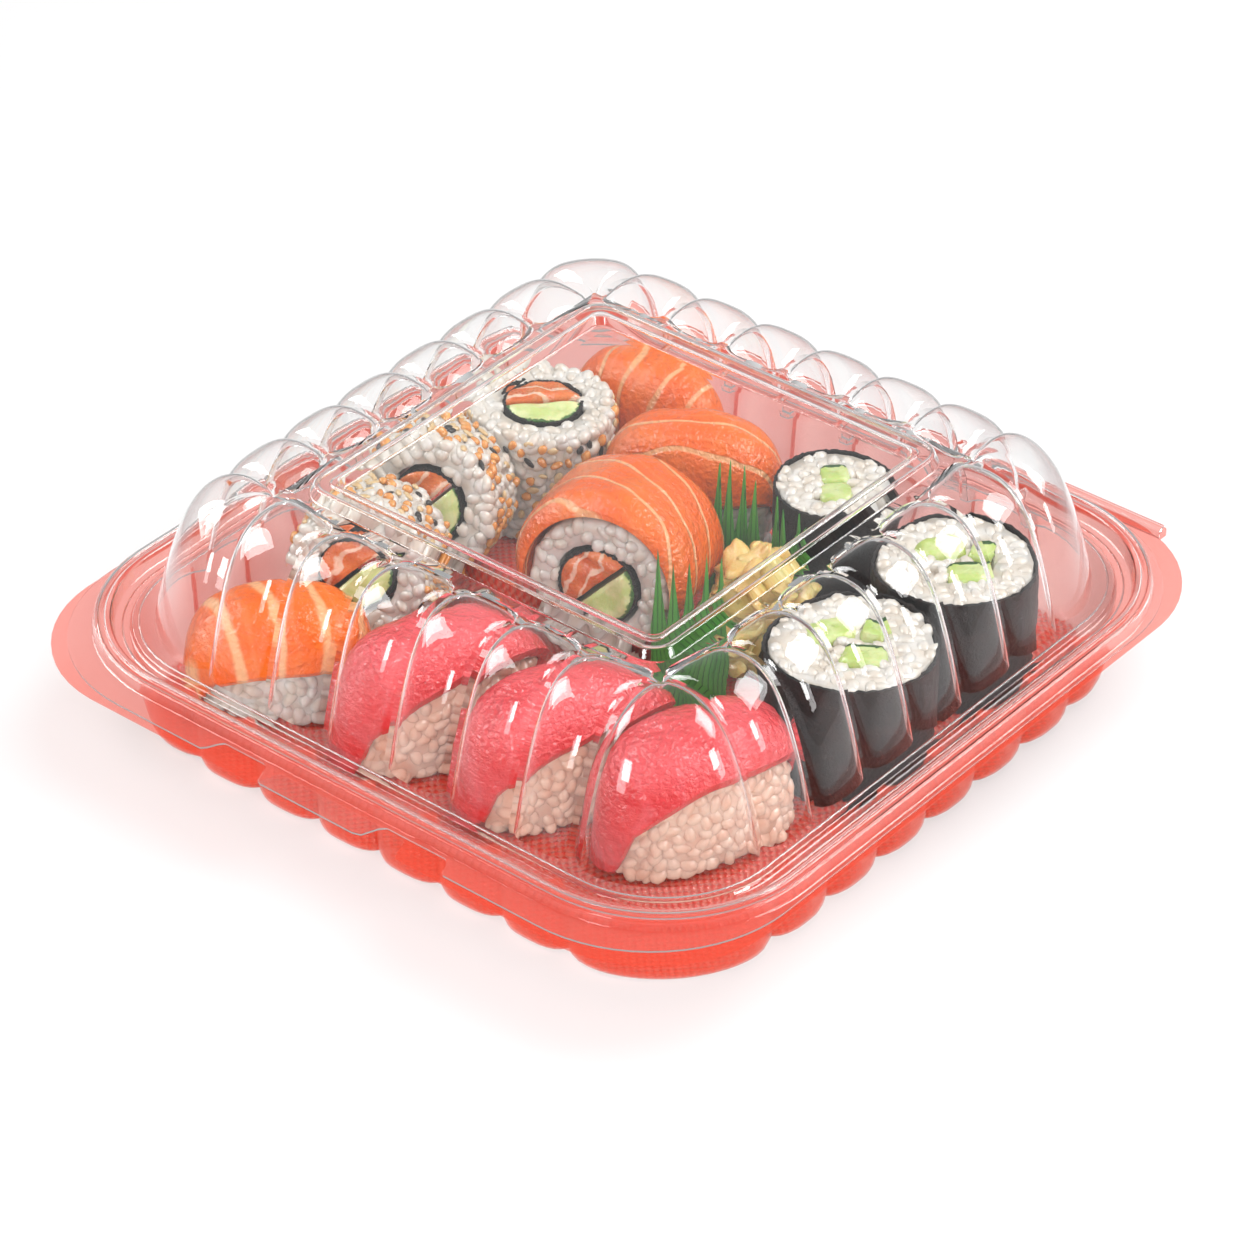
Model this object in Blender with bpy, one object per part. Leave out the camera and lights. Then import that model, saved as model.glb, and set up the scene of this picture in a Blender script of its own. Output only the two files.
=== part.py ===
"""Takeaway sushi tray: a red fluted tray, a clear fluted lid hinged along its back edge, and the sushi inside.

Metres, +Z up. X runs along the front edge, the hinge is at +Y, and the tray stands on Z = 0.
"""
import bisect
import math
import random

import bmesh
import bpy
from mathutils import Matrix, Vector

# Fluted walls, shared by tray and lid: six flutes a side and one wide flute round each corner.
FLUTE_PITCH = 0.01935
FLUTES_A_SIDE = 6
SIDE_END = FLUTE_PITCH * FLUTES_A_SIDE / 2
FLUTE_STEPS = (0.0, 0.2, 0.8)
CORNER_STEPS = (0.0, 0.13, 0.38, 0.62, 0.87)
SHEET = 0.0006
GAP = 0.0004

# Lid rim, from the outside in: flange, snap bead, channel, shelf, foot of the dome.
FLANGE_TOP = 0.0260
BEAD_TOP = 0.0292
CHANNEL_TOP = 0.0257
SHELF_TOP = 0.0270
BEAD_OUT = 0.1050
BEAD_IN = 0.0994
BEAD_DRAFT = 0.0007
BEAD_RADIUS = 0.042
SHELF_OUT = 0.0952
SHELF_DRAFT = 0.0006
FOOT_GROOVE = 0.0880
FLUTE_DEPTH = 0.0036

# Dome: a groove rises from the foot and curves over to the deck; the flutes stand proud of it.
DECK_TOP = 0.0620
DECK_HALF = 0.0630
DECK_CORNER = 0.0597
DOME_STEPS = (0.25, 0.48, 0.68, 0.88)
DOME_PULL_LOW = (0.0075, 0.030)
DOME_PULL_HIGH = (0.0120, 0.0372)
CROWN_INSET = 0.0030
CROWN_FADE = 0.72

# Window frame on the deck.
FRAME_TOP = 0.0650
FRAME_OUT = 0.0563
FRAME_TOP_OUT = 0.0552
FRAME_TOP_IN = 0.0500
FRAME_IN = 0.0495
FRAME_RADIUS = 0.008

# Flange outlines, measured outward from the middle of the tray.
LID_SIDE = 0.1062
LID_BACK = 0.1060
LID_FRONT = 0.1062
LID_EAR = 0.1112
LID_TAB = 0.1125
LID_TAB_FROM = -0.0194
LID_TAB_TO = 0.0129
LID_EAR_LEFT = -0.0387
LID_EAR_RIGHT = 0.0387
LID_CORNER_RADIUS = 0.040
TRAY_SIDE = 0.1070
TRAY_FRONT = 0.1125
TRAY_BACK = 0.1090
TRAY_NOTCH = 0.1056
TRAY_NOTCH_FROM = -0.0130
TRAY_NOTCH_TO = 0.0194
TRAY_CORNER_RADIUS = 0.034

# Tray rim and well.
TRAY_FLANGE_TOP = 0.0249
TRAY_BEAD_TOP = 0.0280
TRAY_LEDGE_TOP = 0.0244
TRAY_BEAD_OUT = 0.1037
TRAY_BEAD_IN = 0.1004
TRAY_BEAD_DRAFT = 0.0006
WELL_TOP = 0.0934
WELL_LOBE = 0.0040
WELL_WALL = ((0.0080, 0.0918, 0.0042), (0.0026, 0.0898, 0.0044))
FLOOR_TOP = 0.0006
FLOOR_EDGE = 0.0862

# Hinge: a round ridge on the tray's back edge, under a curled lip on the lid.
HINGE_Y = 0.1078
HINGE_Z = 0.0263
HINGE_HALF = 0.0860
RIDGE_RADIUS = 0.00125
LIP_IN = 0.0016
LIP_OUT = 0.0022
LIP_END = math.radians(90)

FOOD_FLOOR = FLOOR_TOP + GAP

# Rolls that stand on end: name, middle (x, y), radius, height.
UPRIGHT_ROLLS = (
    ("cucumber_roll_small", (0.0160, 0.0630), 0.0160, 0.0330),
    ("cucumber_roll_back", (0.0597, 0.0550), 0.0212, 0.0340),
    ("cucumber_roll_front", (0.0612, 0.0112), 0.0219, 0.0340),
    ("uramaki_back", (-0.0660, 0.0465), 0.0190, 0.0320),
)
# Rolls that lie on their side with the cut face tipped up: name, middle of the face (x, y), radius,
# length, turn of the face from straight forward towards +X, tip of the face.
LYING_ROLLS = (
    ("uramaki_middle", (-0.0646, -0.0015), 0.0183, 0.0240, 25, 18),
    ("uramaki_left", (-0.0596, -0.0330), 0.0183, 0.0240, 25, 18),
    ("salmon_roll", (-0.0100, 0.0010), 0.0190, 0.0300, 18, 8),
)
ROLL_SIDES = 20
ROLL_WOBBLE = 0.015
ROLL_SOFT = 0.0012
NORI_THICK = 0.0008
LAYER_GAP = 0.0006
CUCUMBER_SHARE = 0.45
RING_SHARE = 0.60
RING_SIDES = 16
FILLING_SPLIT = 135
TOPPING_COUNT = 12
TOPPING_RADIUS = 0.0011
TOPPING_LONG = 1.5
# Salmon slice laid over the top of salmon_roll.
DRAPE_THICK = 0.0055
DRAPE_HALF_ANGLE = 100
DRAPE_STEPS = 10
DRAPE_OVERHANG = 0.0012

# Nigiri: name, middle (x, y), direction of the long axis, length, width, height, fish thickness.
NIGIRI = (
    ("salmon_nigiri_corner", (-0.0560, 0.0775), 6, 0.045, 0.0215, 0.0345, 0.0055),
    ("salmon_nigiri_back", (-0.0240, 0.0560), 32, 0.048, 0.0265, 0.040, 0.0065),
    ("salmon_nigiri_left", (-0.0605, -0.0610), 45, 0.047, 0.0285, 0.033, 0.0060),
    ("tuna_nigiri_left", (-0.0190, -0.0480), 70, 0.059, 0.0315, 0.036, 0.0060),
    ("tuna_nigiri_middle", (0.0180, -0.0450), 70, 0.059, 0.0315, 0.036, 0.0060),
    ("tuna_nigiri_right", (0.0540, -0.0385), 67, 0.055, 0.0320, 0.036, 0.0060),
)
NIGIRI_SIDES = 14
NIGIRI_POWER = 2.6
FISH_SIDE = 0.0030
FISH_LEVELS = (0.0, 0.45, 0.78, 0.95)
# How far down the rice the fish hangs: most at the near end and on the left, least on the right.
FISH_HANG = 0.52
FISH_HANG_END = 0.30
FISH_HANG_SIDE = 0.38

# Leaf strips: name, foot of one end, foot of the other end, height, blades, lean away from the viewer.
LEAVES = (
    ("leaf_back", (-0.0070, 0.0415), (0.0060, 0.0455), 0.047, 4, 0.0010),
    ("leaf_front", (0.0105, -0.0030), (0.0250, 0.0090), 0.049, 5, 0.0030),
    ("leaf_right", (0.0090, 0.0452), (0.0240, 0.0446), 0.037, 4, 0.0),
)
LEAF_THICK = 0.0005
LEAF_WAVE = 0.0007
LEAF_SOLID_PART = 0.45

# Pickled ginger: a core with folded slices on it.
GINGER_MIDDLE = (0.0195, 0.0300)
GINGER_CORE = (0.0125, 0.0110, 0.0235)
GINGER_SLICES = 11
GINGER_SLICE_RADIUS = 0.0062
GINGER_SLICE_THICK = 0.0019
GINGER_SEED = 7

CLEAR = ("clear_plastic", (0.93, 0.93, 0.93), 0.08)
RED = ("red_plastic", (0.86, 0.10, 0.07), 0.18)
NORI = ("nori", (0.035, 0.040, 0.035), 0.55)
RICE = ("rice", (0.90, 0.87, 0.80), 0.45)
SALMON = ("salmon", (0.93, 0.33, 0.08), 0.30)
TUNA = ("tuna", (0.72, 0.09, 0.10), 0.30)
CUCUMBER = ("cucumber", (0.62, 0.70, 0.28), 0.35)
LEAF = ("leaf", (0.05, 0.30, 0.07), 0.40)
GINGER = ("ginger", (0.90, 0.74, 0.40), 0.40)

for thing in list(bpy.data.objects):
    bpy.data.objects.remove(thing, do_unlink=True)


def material(finish):
    """Principled material of one finish, made the first time that it is asked for."""
    name, colour, roughness = finish
    made = bpy.data.materials.get(name)
    if made is None:
        made = bpy.data.materials.new(name)
        made.use_nodes = True
        shader = made.node_tree.nodes["Principled BSDF"]
        shader.inputs["Base Color"].default_value = (*colour, 1.0)
        shader.inputs["Roughness"].default_value = roughness
        shader.inputs["Metallic"].default_value = 0.0
    return made


def place(name, bm, finish, origin=(0.0, 0.0, 0.0)):
    """Link a bmesh in world coordinates as an object whose origin is at the given point."""
    bmesh.ops.recalc_face_normals(bm, faces=bm.faces)
    mesh = bpy.data.meshes.new(name)
    bm.to_mesh(mesh)
    bm.free()
    mesh.transform(Matrix.Translation(-Vector(origin)))
    mesh.shade_smooth()
    mesh.set_sharp_from_angle(angle=math.radians(35))
    mesh.materials.append(material(finish))
    thing = bpy.data.objects.new(name, mesh)
    thing.location = origin
    bpy.context.scene.collection.objects.link(thing)
    return thing


def evaluated(thing):
    """Replace an object's mesh by what its modifiers make of it."""
    depsgraph = bpy.context.evaluated_depsgraph_get()
    mesh = bpy.data.meshes.new_from_object(thing.evaluated_get(depsgraph))
    thing.modifiers.clear()
    thing.data = mesh


def thicken(thing, thickness, offset):
    """Give a sheet its thickness; offset -1 puts it behind the sheet's normals."""
    solid = thing.modifiers.new("sheet", "SOLIDIFY")
    solid.thickness = thickness
    solid.offset = offset
    solid.use_even_offset = True
    solid.use_quality_normals = True


def fuse(thing, others, solver):
    """Join closed pieces to an object by one applied union, and remove them."""
    group = bpy.data.collections.new(thing.name + "_pieces")
    bpy.context.scene.collection.children.link(group)
    for other in others:
        bpy.context.scene.collection.objects.unlink(other)
        group.objects.link(other)
    union = thing.modifiers.new("fused", "BOOLEAN")
    union.operation = "UNION"
    union.operand_type = "COLLECTION"
    union.collection = group
    union.solver = solver
    evaluated(thing)
    for other in others:
        bpy.data.objects.remove(other, do_unlink=True)
    bpy.data.collections.remove(group)


def keep_largest_shell(thing):
    """Fill the pockets left between fused pieces, and drop pieces that touch nothing."""
    bm = bmesh.new()
    bm.from_mesh(thing.data)
    left = set(bm.verts)
    shells = []
    while left:
        shell = {left.pop()}
        edge = list(shell)
        while edge:
            vertex = edge.pop()
            for link in vertex.link_edges:
                other = link.other_vert(vertex)
                if other not in shell:
                    shell.add(other)
                    edge.append(other)
        left -= shell
        shells.append(shell)
    keep = max(shells, key=len)
    bmesh.ops.delete(bm, geom=[v for v in bm.verts if v not in keep], context="VERTS")
    bm.to_mesh(thing.data)
    bm.free()


def quarter_turns(point, turns):
    """Turn a point about Z by a number of quarter turns."""
    x, y, z = point
    for _ in range(turns % 4):
        x, y = -y, x
    return Vector((x, y, z))


def stations():
    """Places round the walls: (side, along, corner angle or None, how far out on its flute, 0 to 1)."""
    found = []
    for side in range(4):
        for flute in range(FLUTES_A_SIDE):
            for step in FLUTE_STEPS:
                along = -SIDE_END + (flute + step) * FLUTE_PITCH
                found.append((side, along, None, 1.0 if step else 0.0))
        for step in CORNER_STEPS:
            found.append((side, SIDE_END, step * math.pi / 2, 1.0 if step else 0.0))
    return found


STATIONS = stations()


def corner_reach(angle, out_here, out_next, radius):
    """Point of a rounded corner in direction angle from the end of a side; angle 0 looks outward."""
    dx, dy = math.sin(angle), math.cos(angle)
    mid_x, mid_y = out_next - radius, out_here - radius
    if dy > 1e-9:
        reach = (out_here - SIDE_END) / dy
        if SIDE_END + reach * dx <= mid_x:
            return SIDE_END + reach * dx, out_here
    if dx > 1e-9:
        reach = (out_next - SIDE_END) / dx
        if SIDE_END + reach * dy <= mid_y:
            return out_next, SIDE_END + reach * dy
    ox, oy = SIDE_END - mid_x, SIDE_END - mid_y
    half_b = ox * dx + oy * dy
    reach = -half_b + math.sqrt(half_b * half_b - (ox * ox + oy * oy - radius * radius))
    return SIDE_END + reach * dx, SIDE_END + reach * dy


def outline(out, radius, height):
    """One loop of points round the tray; out(side, along) is how far out a side stands there."""
    loop = []
    for side, along, angle, _ in STATIONS:
        if angle is None:
            local = (along, -out(side, along), height)
        else:
            x, y = corner_reach(angle, out(side, SIDE_END), out((side + 1) % 4, -SIDE_END), radius)
            local = (x, -y, height)
        loop.append(quarter_turns(local, side))
    return loop


def even_outline(half, radius, height):
    return outline(lambda side, along: half, radius, height)


def fluted_outline(groove, depth, height):
    """Loop that stands further out by depth on the flutes; its corners are arcs about the side ends."""
    loop = []
    for side, along, angle, proud in STATIONS:
        out = groove + depth * proud
        if angle is None:
            local = (along, -out, height)
        else:
            reach = out - SIDE_END
            local = (SIDE_END + reach * math.sin(angle), -SIDE_END - reach * math.cos(angle), height)
        loop.append(quarter_turns(local, side))
    return loop


def groove_curve(run, share):
    """Inward run and rise of the dome's groove at a share of its length, with its direction."""
    points = ((0.0, 0.0), DOME_PULL_LOW, DOME_PULL_HIGH, (run, DECK_TOP - SHELF_TOP))
    back = 1.0 - share
    weights = (back ** 3, 3 * back * back * share, 3 * back * share * share, share ** 3)
    slopes = (-3 * back * back, 3 * back * back - 6 * back * share, 6 * back * share - 3 * share * share,
              3 * share * share)
    place_at = [sum(w * p[axis] for w, p in zip(weights, points)) for axis in (0, 1)]
    heading = [sum(w * p[axis] for w, p in zip(slopes, points)) for axis in (0, 1)]
    return Vector(place_at), Vector(heading).normalized()


def dome_loop(share):
    """Loop round the dome: share 0 is its foot, share 1 the edge of the deck."""
    loop = []
    late = max(0.0, (share - CROWN_FADE) / (1.0 - CROWN_FADE))
    for side, along, angle, proud in STATIONS:
        past = min(1.0, max(0.0, (abs(along) - SIDE_END + FLUTE_PITCH) / FLUTE_PITCH))
        deck = DECK_HALF - (DECK_HALF - DECK_CORNER) * past * past
        spot, heading = groove_curve(FOOT_GROOVE - deck, share)
        swell = FLUTE_DEPTH * proud * (1.0 - late * late)
        inward = spot.x - heading.y * swell
        if angle is None:
            inward += CROWN_INSET * proud * late
        rise = SHELF_TOP + spot.y + (heading.x * swell if share else 0.0)
        out = FOOT_GROOVE - inward
        if angle is None:
            local = (along, -out, rise)
        else:
            reach = (FOOT_GROOVE - DECK_CORNER - inward) * (FOOT_GROOVE - SIDE_END) / (FOOT_GROOVE - DECK_CORNER)
            pivot = SIDE_END + (DECK_CORNER - SIDE_END) * share
            local = (pivot + reach * math.sin(angle), -pivot - reach * math.cos(angle), rise)
        loop.append(quarter_turns(local, side))
    return loop


def frame_loop(half, height):
    """Rounded square of the window frame, with four facets to a corner."""
    loop = []
    mid = half - FRAME_RADIUS
    for side in range(4):
        for step in range(5):
            angle = step * math.pi / 8
            local = (mid + FRAME_RADIUS * math.sin(angle), -mid - FRAME_RADIUS * math.cos(angle), height)
            loop.append(quarter_turns(local, side))
    return loop


def stack(bm, loops):
    """Join loops of equal length by quads, and return the vertices of the first and the last."""
    rows = [[bm.verts.new(point) for point in loop] for loop in loops]
    for low, high in zip(rows, rows[1:]):
        for i, vertex in enumerate(low):
            after = (i + 1) % len(low)
            bm.faces.new((vertex, low[after], high[after], high[i]))
    return rows[0], rows[-1]


def zip_loops(bm, outer, inner):
    """Join two loops of different length round the same middle by triangles."""
    def turn(vertex):
        return math.atan2(vertex.co.y, vertex.co.x)

    outer = sorted(outer, key=turn)
    inner = sorted(inner, key=turn)
    turns = [turn(vertex) for vertex in inner]
    at = [bisect.bisect(turns, turn(vertex)) for vertex in outer]
    for i, vertex in enumerate(outer):
        after = (i + 1) % len(outer)
        first = at[i]
        last = at[after] + (len(inner) if after == 0 else 0)
        for j in range(first, last):
            bm.faces.new((vertex, inner[(j - 1) % len(inner)], inner[j % len(inner)]))
        bm.faces.new((vertex, inner[(last - 1) % len(inner)], outer[after]))


def lid_edge(side, along):
    """How far out the lid's flange reaches: a tab in the middle of the front, wide corners beside it."""
    if side == 0:
        if LID_TAB_FROM - 1e-6 <= along <= LID_TAB_TO + 1e-6:
            return LID_TAB
        if along <= LID_EAR_LEFT + 1e-6 or along >= LID_EAR_RIGHT - 1e-6:
            return LID_EAR
        return LID_FRONT
    return LID_BACK if side == 2 else LID_SIDE


def tray_edge(side, along):
    """How far out the tray's flange reaches: its front is notched under the lid's tab."""
    if side == 0:
        if TRAY_NOTCH_FROM - 1e-6 <= along <= TRAY_NOTCH_TO + 1e-6:
            return TRAY_NOTCH
        return TRAY_FRONT
    return TRAY_BACK if side == 2 else TRAY_SIDE


def hinge_bar(name, profile, finish):
    """Bar of constant profile along the hinge; the profile is a loop of (y, z)."""
    bm = bmesh.new()
    loops = [[(x, y, z) for y, z in profile] for x in (-HINGE_HALF, HINGE_HALF)]
    first, last = stack(bm, loops)
    bm.faces.new(first)
    bm.faces.new(reversed(last))
    return place(name, bm, finish)


def ring_arc(radius, start, end, steps):
    """Points of an arc about the hinge line, in the YZ plane; angle 0 points to +Y."""
    angles = [start + (end - start) * i / steps for i in range(steps + 1)]
    return [(HINGE_Y + radius * math.cos(a), HINGE_Z + radius * math.sin(a)) for a in angles]


def make_lid():
    """Clear lid: flange, snap bead, channel and shelf, fluted dome, and a deck with a window frame."""
    bm = bmesh.new()
    bead_radius = BEAD_RADIUS
    loops = [
        outline(lid_edge, LID_CORNER_RADIUS, FLANGE_TOP),
        even_outline(BEAD_OUT, bead_radius, FLANGE_TOP),
        even_outline(BEAD_OUT - BEAD_DRAFT, bead_radius - BEAD_DRAFT, BEAD_TOP),
        even_outline(BEAD_IN + BEAD_DRAFT, bead_radius + BEAD_IN - BEAD_OUT, BEAD_TOP),
        even_outline(BEAD_IN, bead_radius + BEAD_IN - BEAD_OUT, CHANNEL_TOP),
        even_outline(SHELF_OUT + SHELF_DRAFT, bead_radius + SHELF_OUT - BEAD_OUT, CHANNEL_TOP),
        even_outline(SHELF_OUT, bead_radius + SHELF_OUT - BEAD_OUT, SHELF_TOP),
    ]
    loops += [dome_loop(share) for share in (0.0, *DOME_STEPS, 1.0)]
    _, deck = stack(bm, loops)
    frame = [
        frame_loop(FRAME_OUT, DECK_TOP),
        frame_loop(FRAME_TOP_OUT, FRAME_TOP),
        frame_loop(FRAME_TOP_IN, FRAME_TOP),
        frame_loop(FRAME_IN, DECK_TOP),
    ]
    foot, window = stack(bm, frame)
    zip_loops(bm, deck, foot)
    bm.faces.new(window)
    hinge = (0.0, HINGE_Y, HINGE_Z)
    bmesh.ops.recalc_face_normals(bm, faces=bm.faces)
    upward = sum(face.normal.z * face.calc_area() for face in bm.faces)
    lid = place("lid", bm, CLEAR, hinge)
    thicken(lid, SHEET, -1.0 if upward > 0 else 1.0)
    evaluated(lid)
    outer = ring_arc(LIP_OUT, LIP_END, math.pi, 8)
    inner = ring_arc(LIP_IN, math.pi, LIP_END, 8)
    flange_under = FLANGE_TOP - SHEET
    tongue = [(LID_BACK - SHEET, FLANGE_TOP), (LID_BACK - SHEET, flange_under), (inner[0][0], flange_under)]
    lip = hinge_bar("lid_lip", outer[:-1] + [(outer[-1][0], FLANGE_TOP)] + tongue + inner[:], CLEAR)
    fuse(lid, [lip], "EXACT")
    return lid


def make_tray():
    """Red tray: flange with a notch, bead, ledge, fluted well and flat floor, with the hinge ridge."""
    bm = bmesh.new()
    bead_radius = BEAD_RADIUS + TRAY_BEAD_OUT - BEAD_OUT
    inner_radius = bead_radius + TRAY_BEAD_IN - TRAY_BEAD_OUT
    loops = [
        outline(tray_edge, TRAY_CORNER_RADIUS, TRAY_FLANGE_TOP),
        even_outline(TRAY_BEAD_OUT, bead_radius, TRAY_FLANGE_TOP),
        even_outline(TRAY_BEAD_OUT - TRAY_BEAD_DRAFT, bead_radius - TRAY_BEAD_DRAFT, TRAY_BEAD_TOP),
        even_outline(TRAY_BEAD_IN + TRAY_BEAD_DRAFT, inner_radius + TRAY_BEAD_DRAFT, TRAY_BEAD_TOP),
        even_outline(TRAY_BEAD_IN, inner_radius, TRAY_LEDGE_TOP),
        fluted_outline(WELL_TOP, WELL_LOBE, TRAY_LEDGE_TOP),
    ]
    loops += [fluted_outline(out, lobe, height) for height, out, lobe in WELL_WALL]
    loops.append(fluted_outline(FLOOR_EDGE, WELL_LOBE, FLOOR_TOP))
    _, floor = stack(bm, loops)
    bm.faces.new(floor)
    bmesh.ops.recalc_face_normals(bm, faces=bm.faces)
    upward = sum(face.normal.z * face.calc_area() for face in bm.faces)
    tray = place("tray", bm, RED)
    thicken(tray, SHEET, -1.0 if upward > 0 else 1.0)
    evaluated(tray)
    crown = ring_arc(RIDGE_RADIUS, 0.0, math.pi, 8)
    base = TRAY_FLANGE_TOP - SHEET / 2
    side = RIDGE_RADIUS - SHEET / 4
    ridge = hinge_bar("tray_ridge", crown + [(HINGE_Y - side, base), (HINGE_Y + side, base)], RED)
    fuse(tray, [ridge], "EXACT")
    return tray


def round_loop(radius, y, sides, phase):
    """Circle about the roll's axis, a little out of round."""
    loop = []
    for i in range(sides):
        angle = math.tau * i / sides
        out = radius * (1 - ROLL_WOBBLE + ROLL_WOBBLE * math.sin(3 * angle + phase))
        loop.append(Vector((out * math.cos(angle), y, out * math.sin(angle))))
    return loop


def layer_tube(outer, inner, length, sides, phase, soft):
    """Tube along +Y from the roll's face at Y = 0; its outer edges are rounded off by soft."""
    bm = bmesh.new()
    loops = [
        round_loop(inner, 0.0, sides, phase),
        round_loop(outer - soft, 0.0, sides, phase),
        round_loop(outer, soft, sides, phase),
        round_loop(outer, length - soft, sides, phase),
        round_loop(outer - soft, length, sides, phase),
        round_loop(inner, length, sides, phase),
    ]
    if not soft:
        del loops[2:4]
    first, last = stack(bm, loops)
    for i in range(sides):
        after = (i + 1) % sides
        bm.faces.new((last[i], last[after], first[after], first[i]))
    return bm


def stick(profile, length):
    """Prism along +Y on a loop of (x, z), for a filling."""
    bm = bmesh.new()
    first, last = stack(bm, [[Vector((x, y, z)) for x, z in profile] for y in (0.0, length)])
    bm.faces.new(first)
    bm.faces.new(reversed(last))
    return bm


def segment(radius, middle, spread, steps):
    """Part of a disc cut off by a straight line: the arc is spread to each side of its middle."""
    angles = [middle + spread * (2 * i / steps - 1) for i in range(steps + 1)]
    return [(radius * math.cos(a), radius * math.sin(a)) for a in angles]


def upright_place(middle, length):
    """Matrix that stands a roll on end, its cut face up."""
    spin = Matrix.Rotation(-math.pi / 2, 4, "X")
    return Matrix.Translation((*middle, FOOD_FLOOR + length)) @ spin


def lying_place(face_xy, radius, length, turn, tip):
    """Matrix that lays a roll down with its face turned and tipped, its lowest edge on the floor."""
    tilt, yaw = math.radians(tip), math.radians(turn)
    height = FOOD_FLOOR + length * math.sin(tilt) + radius * math.cos(tilt)
    spin = Matrix.Rotation(yaw, 4, "Z") @ Matrix.Rotation(-tilt, 4, "X")
    return Matrix.Translation((*face_xy, height)) @ spin


def make_cucumber_roll(name, at, radius, length, seed):
    """Nori outside, rice, and a stick of cucumber with its skin side out."""
    nori_in = radius - NORI_THICK
    core = CUCUMBER_SHARE * radius
    nori = layer_tube(radius, nori_in, length, ROLL_SIDES, seed, 0.0)
    rice = layer_tube(nori_in - GAP, core + LAYER_GAP, length, ROLL_SIDES, seed, 0.0)
    filling = stick(segment(core * (1 - 2 * ROLL_WOBBLE), seed * 1.3, math.radians(125), 9), length)
    for bm, part, finish in ((nori, "nori", NORI), (rice, "rice", RICE), (filling, "cucumber", CUCUMBER)):
        bm.transform(at)
        place(f"{name}_{part}", bm, finish)


def make_filled_roll(name, at, radius, length, seed, toppings):
    """Rice outside, a ring of nori, and a salmon and an avocado stick side by side in the middle."""
    ring = RING_SHARE * radius
    ring_in = ring - LAYER_GAP - NORI_THICK
    core = (ring_in - LAYER_GAP) * (1 - 2 * ROLL_WOBBLE)
    rice = layer_tube(radius, ring, length, ROLL_SIDES, seed, ROLL_SOFT)
    nori = layer_tube(ring - LAYER_GAP, ring_in, length, RING_SIDES, seed, 0.0)
    split = math.radians(FILLING_SPLIT)
    salmon = stick(segment(core, split, math.radians(86), 7), length)
    avocado = stick(segment(core, split + math.pi, math.radians(86), 7), length)
    rice.transform(at)
    body = place(f"{name}_rice", rice, RICE)
    if toppings:
        sprinkle(body, at, radius, length, seed)
    for bm, part, finish in ((nori, "nori", NORI), (salmon, "salmon", SALMON), (avocado, "avocado", CUCUMBER)):
        bm.transform(at)
        place(f"{name}_{part}", bm, finish)


def sprinkle(body, at, radius, length, seed):
    """Roe and sesame pressed into the outside of the rice, fused to it."""
    rng = random.Random(40 + seed)
    grains = []
    for i in range(TOPPING_COUNT):
        angle = math.radians(100) * (2 * (i + rng.uniform(0.2, 0.8)) / TOPPING_COUNT - 1) + math.pi / 2
        grain = bmesh.new()
        bmesh.ops.create_icosphere(grain, subdivisions=1, radius=1.0)
        long = TOPPING_LONG if i % 3 else 1.0
        size = Matrix.Diagonal((TOPPING_RADIUS, TOPPING_RADIUS * long, TOPPING_RADIUS, 1.0))
        spin = Matrix.Rotation(rng.uniform(0, math.pi), 4, "X")
        out = radius * (1 - ROLL_WOBBLE)
        y = length * (0.16 + 0.68 * ((i * 0.382) % 1.0))
        spot = Matrix.Translation((out * math.cos(angle), y, out * math.sin(angle)))
        grain.transform(at @ spot @ Matrix.Rotation(-angle, 4, "Y") @ spin @ size)
        grains.append(place("topping", grain, RICE))
    fuse(body, grains, "EXACT")


def make_rolls():
    for seed, (name, middle, radius, length) in enumerate(UPRIGHT_ROLLS):
        at = upright_place(middle, length)
        if name.startswith("cucumber"):
            make_cucumber_roll(name, at, radius, length, seed)
        else:
            make_filled_roll(name, at, radius, length, seed, True)
    for seed, (name, face, radius, length, turn, tip) in enumerate(LYING_ROLLS, len(UPRIGHT_ROLLS)):
        at = lying_place(face, radius, length, turn, tip)
        make_filled_roll(name, at, radius, length, seed, name.startswith("uramaki"))


def make_drape():
    """Slice of salmon bent over the top of salmon_roll, thin at its two lower edges."""
    name, face, radius, length, turn, tip = LYING_ROLLS[-1]
    bm = bmesh.new()
    loops = []
    for share, size in ((0.0, 0.55), (0.1, 1.0), (0.9, 1.0), (1.0, 0.55)):
        y = -DRAPE_OVERHANG + share * (length + 2 * DRAPE_OVERHANG)
        inner, outer = [], []
        for step in range(DRAPE_STEPS + 1):
            across = 2 * step / DRAPE_STEPS - 1
            angle = math.radians(90 - across * DRAPE_HALF_ANGLE)
            thick = DRAPE_THICK * size * math.sqrt(1.04 - across ** 4)
            low, high = radius + LAYER_GAP, radius + LAYER_GAP + thick
            inner.append(Vector((low * math.cos(angle), y, low * math.sin(angle))))
            outer.append(Vector((high * math.cos(angle), y, high * math.sin(angle))))
        loops.append(outer + inner[::-1])
    rows = [[bm.verts.new(point) for point in loop] for loop in loops]
    count = len(loops[0])
    for low, high in zip(rows, rows[1:]):
        for i in range(count):
            after = (i + 1) % count
            bm.faces.new((low[i], low[after], high[after], high[i]))
    for row in (rows[0], rows[-1]):
        for i in range(DRAPE_STEPS):
            bm.faces.new((row[i], row[i + 1], row[count - 2 - i], row[count - 1 - i]))
    bm.transform(lying_place(face, radius, length, turn, tip))
    place("salmon_roll_slice", bm, SALMON)


def squared_round(angle):
    """Unit outline between a circle and a square."""
    c, s = math.cos(angle), math.sin(angle)
    size = (abs(c) ** NIGIRI_POWER + abs(s) ** NIGIRI_POWER) ** (-1 / NIGIRI_POWER)
    return c * size, s * size


def girth(level):
    """Width left at a level of the rice, 0 at its broadest and 1 at its top."""
    return (1 - max(0.0, level) ** NIGIRI_POWER) ** (1 / NIGIRI_POWER)


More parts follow.
